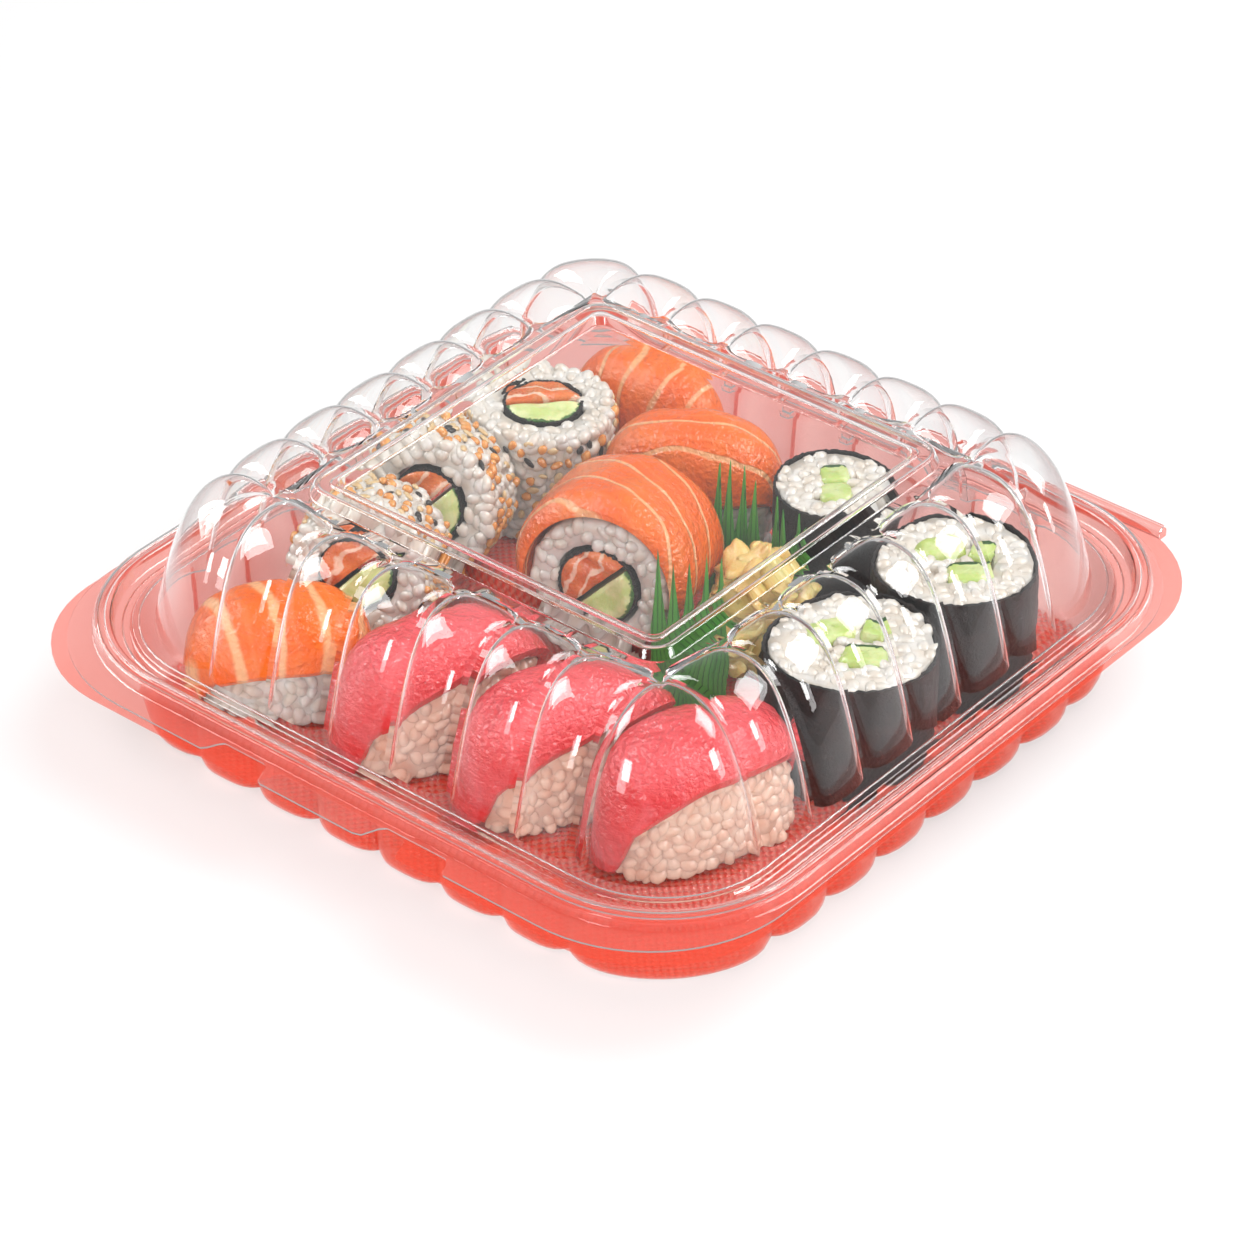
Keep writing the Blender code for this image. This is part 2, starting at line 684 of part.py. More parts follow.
def nigiri_matrix(middle, turn):
    return Matrix.Translation((*middle, FOOD_FLOOR)) @ Matrix.Rotation(math.radians(turn), 4, "Z")


def make_nigiri(name, middle, turn, length, width, height, fish):
    """Pressed rice, and a slice of fish that hangs over its ends and part of its sides."""
    finish = SALMON if name.startswith("salmon") else TUNA
    half_x, half_y = length / 2 - FISH_SIDE - GAP, width / 2 - FISH_SIDE - GAP
    waist = 0.42 * (height - fish)
    dome = height - fish - GAP - waist
    rice = bmesh.new()
    around = [squared_round(math.tau * i / NIGIRI_SIDES) for i in range(NIGIRI_SIDES)]
    rows = [(0.0, 0.92), (0.12 * waist, 0.99)]
    rows += [(waist + dome * level, girth(level)) for level in FISH_LEVELS]
    loops = [[Vector((half_x * size * c, half_y * size * s, z)) for c, s in around] for z, size in rows]
    bottom, top = stack(rice, loops)
    rice.faces.new(bottom)
    peak = rice.verts.new((0.0, 0.0, waist + dome))
    for i, vertex in enumerate(top):
        rice.faces.new((vertex, top[(i + 1) % NIGIRI_SIDES], peak))
    rice.transform(nigiri_matrix(middle, turn))
    place(name + "_rice", rice, RICE)

    slab = bmesh.new()

    def skin(grow_side, grow_top):
        loops = [[]]
        for i, (c, s) in enumerate(around):
            angle = math.tau * i / NIGIRI_SIDES
            hang = FISH_HANG - FISH_HANG_END * math.cos(angle) + FISH_HANG_SIDE * math.sin(angle)
            loops[0].append(Vector(((half_x + grow_side) * c, (half_y + grow_side) * s, waist * (1 - hang))))
        for level in FISH_LEVELS:
            wide_x, wide_y = (half_x + grow_side) * girth(level), (half_y + grow_side) * girth(level)
            loops.append([Vector((wide_x * c, wide_y * s, waist + (dome + grow_top) * level))
                          for c, s in around])
        rim, top = stack(slab, loops)
        peak = slab.verts.new((0.0, 0.0, waist + dome + grow_top))
        for i, vertex in enumerate(top):
            slab.faces.new((vertex, top[(i + 1) % NIGIRI_SIDES], peak))
        return rim

    under = skin(GAP, GAP)
    over = skin(GAP + FISH_SIDE, GAP + fish)
    for i in range(NIGIRI_SIDES):
        after = (i + 1) % NIGIRI_SIDES
        slab.faces.new((under[i], under[after], over[after], over[i]))
    slab.transform(nigiri_matrix(middle, turn))
    place(name + "_fish", slab, finish)


def make_leaf(name, start, end, height, blades, lean):
    """Strip of cut leaf standing on edge: a wavy band with pointed blades along its top."""
    start, end = Vector(start), Vector(end)
    run = end - start
    across = Vector((-run.y, run.x)).normalized()
    rng = random.Random(name)

    def spot(share, z):
        sway = LEAF_WAVE * math.sin(share * blades * math.pi) + lean * (z / height) ** 2
        at = start + run * share + across * sway
        return (at.x, at.y, FOOD_FLOOR + z)

    bm = bmesh.new()
    foot, shoulder = [], []
    for i in range(blades * 2 + 1):
        share = i / (blades * 2)
        foot.append(bm.verts.new(spot(share, 0.0)))
        shoulder.append(bm.verts.new(spot(share, height * LEAF_SOLID_PART)))
    for i in range(blades * 2):
        bm.faces.new((foot[i], foot[i + 1], shoulder[i + 1]))
        bm.faces.new((foot[i], shoulder[i + 1], shoulder[i]))
    for i in range(blades):
        middle = shoulder[2 * i + 1]
        tip = bm.verts.new(spot((i + rng.uniform(0.35, 0.65)) / blades, height * rng.uniform(0.82, 1.0)))
        bm.faces.new((shoulder[2 * i], middle, tip))
        bm.faces.new((middle, shoulder[2 * i + 2], tip))
    leaf = place(name, bm, LEAF)
    thicken(leaf, LEAF_THICK, 0.0)
    evaluated(leaf)


def make_ginger():
    """Heap of pickled ginger: a core with folded slices fused on, each a cupped disc."""
    rng = random.Random(GINGER_SEED)
    x, y = GINGER_MIDDLE
    bm = bmesh.new()
    bmesh.ops.create_icosphere(bm, subdivisions=2, radius=1.0)
    for vertex in bm.verts:
        vertex.co.z = max(vertex.co.z, -0.35)
    low = min(vertex.co.z for vertex in bm.verts)
    a, b, c = GINGER_CORE
    for vertex in bm.verts:
        vertex.co = Vector((a * vertex.co.x, b * vertex.co.y, c * (vertex.co.z - low)))
    bm.transform(Matrix.Translation((x, y, FOOD_FLOOR)))
    core = place("ginger", bm, GINGER)
    slices = []
    for i in range(GINGER_SLICES):
        share = (i + 0.5) / GINGER_SLICES
        rise = 0.25 + 0.75 * share
        swing = math.tau * 0.382 * i * 2.0
        reach = math.sqrt(max(0.0, 1 - (rise * 0.96) ** 2))
        middle = Vector((x + a * reach * math.cos(swing), y + b * reach * math.sin(swing),
                         FOOD_FLOOR + c * 1.2 * rise))
        disc = bmesh.new()
        bmesh.ops.create_uvsphere(disc, u_segments=8, v_segments=5, radius=1.0)
        size = GINGER_SLICE_RADIUS * rng.uniform(0.8, 1.1)
        cup = rng.uniform(0.25, 0.5)
        for vertex in disc.verts:
            px, py, pz = vertex.co
            vertex.co = Vector((px * size, py * size * 0.75,
                                pz * GINGER_SLICE_THICK + cup * size * (px * px - 0.5 * py * py)))
        spin = Matrix.Rotation(rng.uniform(0, math.tau), 4, "Z")
        lean = Matrix.Rotation(math.radians(rng.uniform(35, 75)) * reach, 4, "Y")
        disc.transform(Matrix.Translation(middle) @ Matrix.Rotation(swing, 4, "Z") @ lean @ spin)
        slices.append(place("ginger_slice", disc, GINGER))
    fuse(core, slices, "EXACT")
    keep_largest_shell(core)


make_tray()
make_lid()
make_rolls()
make_drape()
for row in NIGIRI:
    make_nigiri(*row)
for row in LEAVES:
    make_leaf(*row)
make_ginger()
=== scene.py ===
import math
import random

import bmesh
import bpy
import numpy as np
from mathutils import Matrix, Vector
from mathutils.bvhtree import BVHTree


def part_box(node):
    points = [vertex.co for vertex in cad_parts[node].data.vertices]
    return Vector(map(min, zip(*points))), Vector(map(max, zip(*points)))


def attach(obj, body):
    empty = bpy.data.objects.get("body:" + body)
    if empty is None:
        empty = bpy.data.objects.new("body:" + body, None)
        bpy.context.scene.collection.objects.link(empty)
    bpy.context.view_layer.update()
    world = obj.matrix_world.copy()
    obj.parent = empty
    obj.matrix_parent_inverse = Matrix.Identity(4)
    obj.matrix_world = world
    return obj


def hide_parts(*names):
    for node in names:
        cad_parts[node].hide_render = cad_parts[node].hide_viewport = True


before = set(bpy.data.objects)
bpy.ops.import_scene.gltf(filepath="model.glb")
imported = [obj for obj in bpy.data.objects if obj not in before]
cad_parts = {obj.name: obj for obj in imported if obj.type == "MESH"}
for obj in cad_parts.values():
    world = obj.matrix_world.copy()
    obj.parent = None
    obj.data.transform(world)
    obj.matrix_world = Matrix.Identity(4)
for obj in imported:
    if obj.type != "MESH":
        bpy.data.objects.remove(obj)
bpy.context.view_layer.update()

# Studio. The tray stands on a white sweep, seen from its front corner and from above with a long lens.
# Square softboxes, two large and two small, make the white squares on the lid's flutes. The room is white
# above and greyer at its walls, which draws the lid's edges.
CAMERA_AZIMUTH = math.radians(39.56)
CAMERA_ELEVATION = math.radians(35.57)
CAMERA_DISTANCE = 1.237
CAMERA_TARGET = Vector((0.0002, 0.0002, 0.0173))
CAMERA_SENSOR = 36.0
FOCAL_PIXELS = 5000.0
FRAME_PIXELS = 1254.0
FLOOR_SIZE = 6.0
FLOOR_COLOUR = (0.86, 0.855, 0.855)
SOFTBOXES = (      # name, direction, distance, side, watts
    ("softbox_right", (0.60, 0.42, 0.67), 1.10, 0.62, 16.0),
    ("softbox_left", (-0.71, -0.41, 0.577), 1.10, 0.62, 16.0),
    ("strip_front", (0.10, -0.97, 0.24), 1.20, 0.26, 6.0),
    ("strip_side", (0.97, 0.12, 0.24), 1.20, 0.26, 6.0),
)
SOFT_LIGHTS = (    # the same, for light that the lid doesn't mirror
    ("key_top", (0.20, 0.35, 0.90), 1.8, 1.3, 20.0),
    ("fill_front", (0.62, -0.62, 0.48), 2.2, 1.4, 22.0),
)
ROOM_TOP = 0.78
ROOM_WALL = 0.40
ROOM_RISE = (0.42, 0.98)


def toward_camera():
    flat = math.cos(CAMERA_ELEVATION)
    return Vector((math.sin(CAMERA_AZIMUTH) * flat, -math.cos(CAMERA_AZIMUTH) * flat,
                   math.sin(CAMERA_ELEVATION)))


lens = bpy.data.cameras.new("camera")
lens.sensor_width = CAMERA_SENSOR
lens.lens = CAMERA_SENSOR * FOCAL_PIXELS / FRAME_PIXELS
lens.clip_start = 0.05
camera = bpy.data.objects.new("camera", lens)
camera.location = CAMERA_TARGET + toward_camera() * CAMERA_DISTANCE
camera.rotation_euler = (-toward_camera()).to_track_quat("-Z", "Y").to_euler()
bpy.context.scene.collection.objects.link(camera)
bpy.context.scene.camera = camera
bpy.context.scene.view_settings.view_transform = "Standard"
for kind, most in (("transparent_max", 24), ("transmission", 10), ("glossy", 2), ("diffuse", 2)):
    setattr(bpy.context.scene.cycles, kind + "_bounces", most)


class Flow:
    """What comes out of a shader node; sums and products of it add Math nodes."""

    def __init__(self, finish, socket):
        self.finish = finish
        self.socket = socket

    def maths(self, operation, *terms):
        return self.finish.node("ShaderNodeMath", {"operation": operation}, dict(enumerate(terms)))

    def __add__(self, other):
        return self.maths("ADD", self, other)

    def __radd__(self, other):
        return self.maths("ADD", other, self)

    def __sub__(self, other):
        return self.maths("SUBTRACT", self, other)

    def __rsub__(self, other):
        return self.maths("SUBTRACT", other, self)

    def __mul__(self, other):
        return self.maths("MULTIPLY", self, other)

    def __rmul__(self, other):
        return self.maths("MULTIPLY", other, self)

    def sine(self):
        return self.maths("SINE", self)

    def over(self, low, high):
        """0 below low and 1 above high, with a soft step between."""
        return self.finish.node("ShaderNodeMapRange", {"interpolation_type": "SMOOTHSTEP"},
                                {"Value": self, "From Min": low, "From Max": high})


class Finish:
    """A material being mixed for one of the tray's surfaces."""

    def __init__(self, name):
        self.material = bpy.data.materials.new(name)
        self.material.use_nodes = True
        self.tree = self.material.node_tree
        self.tree.nodes.clear()
        self.place = self.node("ShaderNodeTexCoord", out=3)

    def node(self, kind, settings=None, values=None, out=0):
        made = self.tree.nodes.new(kind)
        for name, value in (settings or {}).items():
            setattr(made, name, value)
        for name, value in (values or {}).items():
            if isinstance(value, Flow):
                self.tree.links.new(value.socket, made.inputs[name])
            else:
                made.inputs[name].default_value = value
        return Flow(self, made.outputs[out] if made.outputs else None)

    def noise(self, size, detail=2.0, stretch=None, distortion=0.0):
        """Soft random cloud, 0 to 1, whose lumps are about size metres across."""
        place = self.place
        if stretch:
            place = self.node("ShaderNodeVectorMath", {"operation": "MULTIPLY"}, {0: place, 1: stretch})
        return self.node("ShaderNodeTexNoise", {}, {"Vector": place, "Scale": 1.0 / size, "Detail": detail,
                                                    "Distortion": distortion})

    def reading(self, name):
        """Number that the mesh carries at each point under this name."""
        return self.node("ShaderNodeAttribute", {"attribute_name": name}, out=2)

    def along(self, origin, direction):
        """How far a point lies from an origin in a direction, in metres."""
        start = sum(o * d for o, d in zip(origin, direction))
        return self.node("ShaderNodeVectorMath", {"operation": "DOT_PRODUCT"},
                         {0: self.place, 1: direction}, out=1) - start

    def blend(self, share, low, high):
        """Colour that goes from low to high as share goes from 0 to 1."""
        return self.node("ShaderNodeMix", {"data_type": "RGBA"}, {0: share, 6: tint(low), 7: tint(high)}, out=2)

    def bump(self, height, depth):
        return self.node("ShaderNodeBump", {}, {"Strength": 1.0, "Distance": depth, "Height": height})

    def skin(self, colour, roughness, normal=None, **extra):
        values = {"Base Color": tint(colour), "Roughness": roughness}
        if normal:
            values["Normal"] = normal
        values.update({name.replace("_", " "): value for name, value in extra.items()})
        return self.node("ShaderNodeBsdfPrincipled", {}, values)

    def coat(self, colour, roughness, normal, soft=0.0, depth=0.002, **extra):
        """Finished material: a skin, with light carried under it by a share soft."""
        return self.done(self.skin(colour, roughness, normal, Subsurface_Weight=soft, Subsurface_Scale=depth,
                                   **extra))

    def sheer(self, share, clear, skin):
        """Film: the clear colour where share is 0, the skin where it is 1."""
        film = self.node("ShaderNodeBsdfTransparent", {}, {"Color": tint(clear)})
        return self.node("ShaderNodeMixShader", {}, {0: share, 1: film, 2: skin})

    def done(self, surface):
        self.node("ShaderNodeOutputMaterial", {}, {"Surface": surface})
        return self.material


def tint(colour):
    return colour if isinstance(colour, Flow) else (*colour, 1.0)


def hang_box(name, direction, distance, side, strength):
    """Square softbox that looks at the tray."""
    lamp = bpy.data.lights.new(name, "AREA")
    lamp.shape = "SQUARE"
    lamp.size = side
    lamp.energy = strength
    box = bpy.data.objects.new(name, lamp)
    box.location = CAMERA_TARGET + Vector(direction).normalized() * distance
    box.rotation_euler = Vector(direction).to_track_quat("Z", "Y").to_euler()
    bpy.context.scene.collection.objects.link(box)
    return box


for row in SOFTBOXES:
    hang_box(*row).visible_diffuse = False
for row in SOFT_LIGHTS:
    hang_box(*row).visible_glossy = False

world = bpy.data.worlds.new("white_room")
world.use_nodes = True
room = world.node_tree
looking = room.nodes.new("ShaderNodeTexCoord")
parts = room.nodes.new("ShaderNodeSeparateXYZ")
rise = room.nodes.new("ShaderNodeMapRange")
rise.interpolation_type = "SMOOTHSTEP"
for socket, value in (("From Min", ROOM_RISE[0]), ("From Max", ROOM_RISE[1]), ("To Min", ROOM_WALL),
                      ("To Max", ROOM_TOP)):
    rise.inputs[socket].default_value = value
room.links.new(looking.outputs["Generated"], parts.inputs[0])
room.links.new(parts.outputs["Z"], rise.inputs["Value"])
room.links.new(rise.outputs[0], room.nodes["Background"].inputs["Strength"])
room.nodes["Background"].inputs["Color"].default_value = (1.0, 1.0, 1.0, 1.0)
bpy.context.scene.world = world

paper = Finish("white_sweep")
paper_grain = paper.noise(0.02, 3.0)
paper_skin = paper.skin(paper.blend(paper_grain, [0.99 * c for c in FLOOR_COLOUR], FLOOR_COLOUR), 0.75)
sweep = bmesh.new()
bmesh.ops.create_grid(sweep, x_segments=1, y_segments=1, size=FLOOR_SIZE / 2)
sweep_mesh = bpy.data.meshes.new("sweep")
sweep.to_mesh(sweep_mesh)
sweep.free()
sweep_mesh.materials.append(paper.done(paper_skin))
floor = bpy.data.objects.new("sweep", sweep_mesh)
bpy.context.scene.collection.objects.link(floor)


# Tray. One sheet of coral red plastic drawn over a mould: flange, snap bead, ledge, fluted well and a
# floor with a fine waffle pressed into it. The round ridge along the back carries the lid.
PITCH = 0.01935
FLUTES = 6
SIDE_END = PITCH * FLUTES / 2
GROOVE_T = 0.055
FLUTE_SHARES = (0.0, GROOVE_T, 0.085, 0.12, 0.17, 0.24, 0.33, 0.44, 0.56, 0.67, 0.76, 0.83, 0.88, 0.915,
                1 - GROOVE_T)
CORNER_STEPS = 22
CORNER_GROOVE = 0.018
SHEET = 0.00045
TRAY_SIDE = 0.1070
TRAY_FRONT = 0.1125
TRAY_BACK = 0.1090
TRAY_NOTCH = 0.1056
TRAY_NOTCH_SPAN = (-0.0195, 0.0225)
TRAY_CORNER = 0.034
STEP_WIDTH = 0.0035
# Profiles are rows of (distance out, height, corner radius); the wall's are (height, groove, flute).
TRAY_RIM = ((0.1037, 0.0249, 0.0005), (0.1031, 0.0280, 0.0006), (0.1010, 0.0280, 0.0006),
            (0.1004, 0.0244, 0.0006))
TRAY_WALL = ((0.0244, 0.0934, 0.0040), (0.0236, 0.0932, 0.0041), (0.0220, 0.0930, 0.0042),
             (0.0180, 0.0926, 0.0043), (0.0130, 0.0922, 0.0043), (0.0080, 0.0918, 0.0042),
             (0.0050, 0.0911, 0.0043), (0.0031, 0.0902, 0.0044), (0.0018, 0.0889, 0.0044),
             (0.0009, 0.0872, 0.0043), (0.0006, 0.0850, 0.0040))
HINGE = (0.1078, 0.0263)
HINGE_HALF = 0.0860
RIDGE_RADIUS = 0.00125
RIM_CORNER = 0.042
RIM_OUT = 0.105
WELL_TOP = (0.0980, 0.0244)
FLANGE_UNDER = 0.0249
WAFFLE_PITCH = 0.0024
WAFFLE_DEPTH = 0.00025
FLOOR_BAND = (0.0007, 0.0012)
CORAL_CLEAR = (0.985, 0.77, 0.745)
CORAL = (0.93, 0.13, 0.07)
CORAL_BRIGHT = [min(1.0, c * 1.12) for c in CORAL]
CORAL_DEEP = (0.70, 0.035, 0.018)


def groove_share(t, flat, soft):
    """How far a flute stands out across its width: 0 in the groove, 1 on the crown."""
    inward = min(t, 1 - t)
    if inward <= flat:
        return 0.0
    rise = min(1.0, (inward - flat) / soft)
    return (1 - (1 - rise) ** 2.6) ** (1 / 1.9)


def stations():
    """Places round the walls: side, place along it, angle round the corner or None, share of the flute."""
    found = []
    for side in range(4):
        for flute in range(FLUTES):
            for t in FLUTE_SHARES:
                along = -SIDE_END + (flute + t) * PITCH
                found.append((side, along, None, groove_share(t, GROOVE_T, 0.40)))
        for step in range(CORNER_STEPS):
            t = step / CORNER_STEPS
            found.append((side, SIDE_END, t * math.pi / 2, groove_share(t, CORNER_GROOVE, 0.26)))
    return found


STATIONS = stations()


def turned(x, y, z, side):
    for _ in range(side):
        x, y = -y, x
    return (x, y, z)


def corner_reach(angle, here, after, radius):
    """Point of a rounded corner seen from the end of a side in direction angle; 0 looks outward."""
    dx, dy = math.sin(angle), math.cos(angle)
    mid_x, mid_y = after - radius, here - radius
    if dy > 1e-9:
        reach = (here - SIDE_END) / dy
        if SIDE_END + reach * dx <= mid_x:
            return SIDE_END + reach * dx, here
    if dx > 1e-9:
        reach = (after - SIDE_END) / dx
        if SIDE_END + reach * dy <= mid_y:
            return after, SIDE_END + reach * dy
    ox, oy = SIDE_END - mid_x, SIDE_END - mid_y
    half_b = ox * dx + oy * dy
    reach = -half_b + math.sqrt(max(0.0, half_b * half_b - (ox * ox + oy * oy - radius * radius)))
    return SIDE_END + reach * dx, SIDE_END + reach * dy


def ring(out, radius, height):
    """One loop round the tray; out(side, along) says how far out each side stands."""
    loop = []
    for side, along, angle, _ in STATIONS:
        x, y = along, out(side, along)
        if angle is not None:
            x, y = corner_reach(angle, y, out((side + 1) % 4, -SIDE_END), radius)
        loop.append(turned(x, -y, height, side))
    return loop


def even_ring(half, radius, height):
    return ring(lambda side, along: half, radius, height)


def fanned(side, along, angle, out, pivot, reach, height):
    """Point of a loop: straight out on a side, or on an arc about the pivot at a corner."""
    if angle is None:
        return turned(along, -out, height, side)
    return turned(pivot + reach * math.sin(angle), -pivot - reach * math.cos(angle), height, side)


def fluted_ring(groove, depth, height):
    loop = []
    for side, along, angle, share in STATIONS:
        out = groove + depth * share
        loop.append(fanned(side, along, angle, out, SIDE_END, out - SIDE_END, height))
    return loop


def filleted(corners, steps=2):
    """Profile of (out, height) with each corner rounded off to its own radius, the third number."""
    points = []
    for i, (out, height, radius) in enumerate(corners):
        here = Vector((out, height))
        if not radius or i in (0, len(corners) - 1):
            points.append(here)
            continue
        before = Vector(corners[i - 1][:2]) - here
        after = Vector(corners[i + 1][:2]) - here
        half = before.angle(after) / 2
        cut = min(radius / math.tan(half), 0.45 * before.length, 0.45 * after.length)
        start, end = here + before.normalized() * cut, here + after.normalized() * cut
        for step in range(steps + 1):
            t = step / steps
            points.append(start * (1 - t) ** 2 + here * 2 * t * (1 - t) + end * t * t)
    return points


def soft_span(along, start, end):
    """1 between start and end, 0 outside, with an S-shaped run at both."""
    def step(x):
        x = min(1.0, max(0.0, x / STEP_WIDTH + 0.5))
        return x * x * (3 - 2 * x)
    return step(along - start) * step(end - along)


def tray_edge(side, along):
    if side == 0:
        return TRAY_FRONT - (TRAY_FRONT - TRAY_NOTCH) * soft_span(along, *TRAY_NOTCH_SPAN)
    return TRAY_BACK if side == 2 else TRAY_SIDE


def mesh_of(vertices, faces):
    mesh = bpy.data.meshes.new("form")
    mesh.from_pydata([tuple(v) for v in vertices], [], faces)
    return mesh


def outward(mesh, weld=False):
    """Turn a closed mesh's faces outward, after joining points that lie on each other."""
    bm = bmesh.new()
    bm.from_mesh(mesh)
    if weld:
        bmesh.ops.remove_doubles(bm, verts=bm.verts, dist=1e-6)
    bmesh.ops.recalc_face_normals(bm, faces=bm.faces)
    bm.to_mesh(mesh)
    bm.free()
    return mesh


def loop_faces(rows, count):
    """Faces between loops of equal length, each joined to the next."""
    return [(row * count + i, row * count + (i + 1) % count, (row + 1) * count + (i + 1) % count,
             (row + 1) * count + i) for row in range(rows - 1) for i in range(count)]


def skin_mesh(rows):
    """Sheet through loops of equal length, with the last one filled."""
    count = len(rows[0])
    last = (len(rows) - 1) * count
    faces = loop_faces(len(rows), count) + [tuple(range(last, last + count))]
    return mesh_of([point for row in rows for point in row], faces)


def closing_rows(loop, shares=(0.97, 0.55, 0.15)):
    """Smaller copies of a level loop, which carry the sheet flat to its middle."""
    return [[(x * share, y * share, z) for x, y, z in loop] for share in shares]


def upright(mesh):
    """Turn a sheet's faces to look up and out."""
    outward(mesh)
    if sum(face.normal.z * face.area for face in mesh.polygons) < 0:
        mesh.flip_normals()
    return mesh


def set_out(name, mesh, finish, body, stands_for=(), sharp=None):
    """Link a piece, smooth it, and say what it rides on and stands for."""
    mesh.materials.append(finish)
    mesh.shade_smooth()
    if sharp:
        mesh.set_sharp_from_angle(angle=math.radians(sharp))
    thing = bpy.data.objects.new(name, mesh)
    bpy.context.scene.collection.objects.link(thing)
    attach(thing, body)
    if stands_for:
        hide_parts(*stands_for)
    return thing


def thickened(mesh, thickness, offset=-1.0):
    """Sheet turned into a thin solid; at offset -1 the skin given is its upper side."""
    thing = bpy.data.objects.new("sheet", mesh)
    bpy.context.scene.collection.objects.link(thing)
    layer = thing.modifiers.new("sheet", "SOLIDIFY")
    layer.thickness = thickness
    layer.offset = offset
    made = bpy.data.meshes.new_from_object(thing.evaluated_get(bpy.context.evaluated_depsgraph_get()))
    bpy.data.objects.remove(thing)
    return made


def solid(points, rows):
    """Closed form through rows of points of equal length, with the first and the last row filled."""
    count = len(points) // rows
    faces = loop_faces(rows, count)
    faces.append(tuple(reversed(range(count))))
    faces.append(tuple(range(len(points) - count, len(points))))
    return outward(mesh_of(points, faces))


def bar(profile):
    """Bar along the hinge, on a closed profile of (y, z)."""
    return solid([(x, y, z) for x in (-HINGE_HALF, HINGE_HALF) for y, z in profile], 2)


def joined(meshes):
    """One mesh out of several, in their order."""
    bm = bmesh.new()
    for mesh in meshes:
        bm.from_mesh(mesh)
    made = bpy.data.meshes.new("joined")
    bm.to_mesh(made)
    bm.free()
    return made


def arc(radius, start, end, steps):
    """Points about the hinge line, as (y, z); angle 0 looks to +Y."""
    angles = [math.radians(start + (end - start) * i / steps) for i in range(steps + 1)]
    return [(HINGE[0] + radius * math.cos(a), HINGE[1] + radius * math.sin(a)) for a in angles]


coral = Finish("coral_sheet")
coral_x, coral_y, coral_z = (coral.node("ShaderNodeSeparateXYZ", {}, {0: coral.place}, out=i) for i in range(3))
waffle = (coral_x * (math.tau / WAFFLE_PITCH)).sine() * (coral_y * (math.tau / WAFFLE_PITCH)).sine()
pressed = waffle.over(-0.2, 0.5)
on_floor = 1.0 - coral_z.over(*FLOOR_BAND)
coral_edge = coral.node("ShaderNodeLayerWeight", {}, {"Blend": 0.35}, out=1)
coral_colour = coral.blend(coral.noise(0.03), CORAL, CORAL_BRIGHT)
coral_colour = coral.blend(pressed * on_floor, coral_colour, CORAL_DEEP)
coral_skin = coral.skin(coral_colour, 0.16, coral.bump(waffle * on_floor, WAFFLE_DEPTH))
coral_share = 0.10 + coral_edge * 0.50 + (0.20 + pressed * 0.40) * on_floor
coral_sheet = coral.done(coral.sheer(coral_share, CORAL_CLEAR, coral_skin))

tray_rows = [ring(tray_edge, TRAY_CORNER, FLANGE_UNDER)]
for out, height in filleted(((RIM_OUT, FLANGE_UNDER, 0.0), *TRAY_RIM, (*WELL_TOP, 0.0)))[1:-1]:
    tray_rows.append(even_ring(out, RIM_CORNER + out - RIM_OUT, height))
tray_rows += [fluted_ring(groove, lobe, height) for height, groove, lobe in TRAY_WALL]
tray_rows += closing_rows(tray_rows[-1])
tray_sheet = thickened(upright(skin_mesh(tray_rows)), SHEET)
ridge_base = FLANGE_UNDER - SHEET / 2
ridge = arc(RIDGE_RADIUS, 0, 180, 14)
ridge += [(HINGE[0] - RIDGE_RADIUS, ridge_base), (HINGE[0] + RIDGE_RADIUS, ridge_base)]
set_out("tray_moulding", joined([tray_sheet, bar(ridge)]), coral_sheet, "tray",
        ["tray"], sharp=40).visible_diffuse = False


# Lid. A thinner sheet of clear plastic drawn the same way: a flange with the opening tab, a ribbed snap
# bead over the tray's, a channel, a fluted dome, and a scalloped deck with a raised square frame.
FLANGE_TOP = 0.0260
LID_SIDE = 0.1062
LID_BACK = 0.1060
LID_FRONT = 0.1062
LID_EAR = 0.1112
LID_TAB = 0.1125
LID_TAB_SPAN = (-0.0205, 0.0140)
LID_EAR_LEFT = -0.0370
LID_EAR_RIGHT = 0.0360
LID_CORNER = 0.040
LID_RIM = (
    (0.1050, 0.0260, 0.0005), (0.1045, 0.0288, 0.0006), (0.1034, 0.0292, 0.0004), (0.1030, 0.0286, 0.0003),
    (0.1021, 0.0286, 0.0003), (0.1017, 0.0292, 0.0004), (0.1003, 0.0292, 0.0006), (0.0994, 0.0257, 0.0006),
    (0.0979, 0.0257, 0.0004), (0.0975, 0.0261, 0.0004), (0.0971, 0.0257, 0.0004), (0.0958, 0.0257, 0.0006),
    (0.0952, 0.0270, 0.0006), (0.0938, 0.0270, 0.0003), (0.0935, 0.0273, 0.0003), (0.0932, 0.0270, 0.0003),
    (0.0924, 0.0270, 0.0),
)
FOOT_GROOVE = 0.0880
FLUTE_DEPTH = 0.0036
SHELF_TOP = 0.0270
DECK_TOP = 0.0620
DECK_HALF = 0.0630
DECK_CORNER = 0.0597
DOME_PULL_LOW = (0.0075, 0.030)
DOME_PULL_HIGH = (0.0120, 0.0372)
DOME_ROWS = 28
CROWN_INSET = 0.0030
CROWN_FADE = 0.72
DECK_STEP = 0.0007
FRAME_PROFILE = (
    (0.0600, 0.0620, 0.0), (0.0563, 0.0620, 0.0005), (0.0552, 0.0650, 0.0007), (0.0541, 0.0650, 0.0003),
    (0.0537, 0.0646, 0.0003), (0.0516, 0.0646, 0.0003), (0.0512, 0.0650, 0.0003), (0.0500, 0.0650, 0.0006),
    (0.0495, 0.0620, 0.0005), (0.0470, 0.0620, 0.0),
)
FRAME_RADIUS = 0.0075
LIP_IN = 0.0016
LIP_OUT = 0.0021
LIP_OVERLAP = 0.0004
LIP_UNDER = 0.0256
CLEAR_IOR = 1.40
CLEAR_FACE = (0.995, 0.995, 0.995)
CLEAR_EDGE = (0.70, 0.70, 0.71)


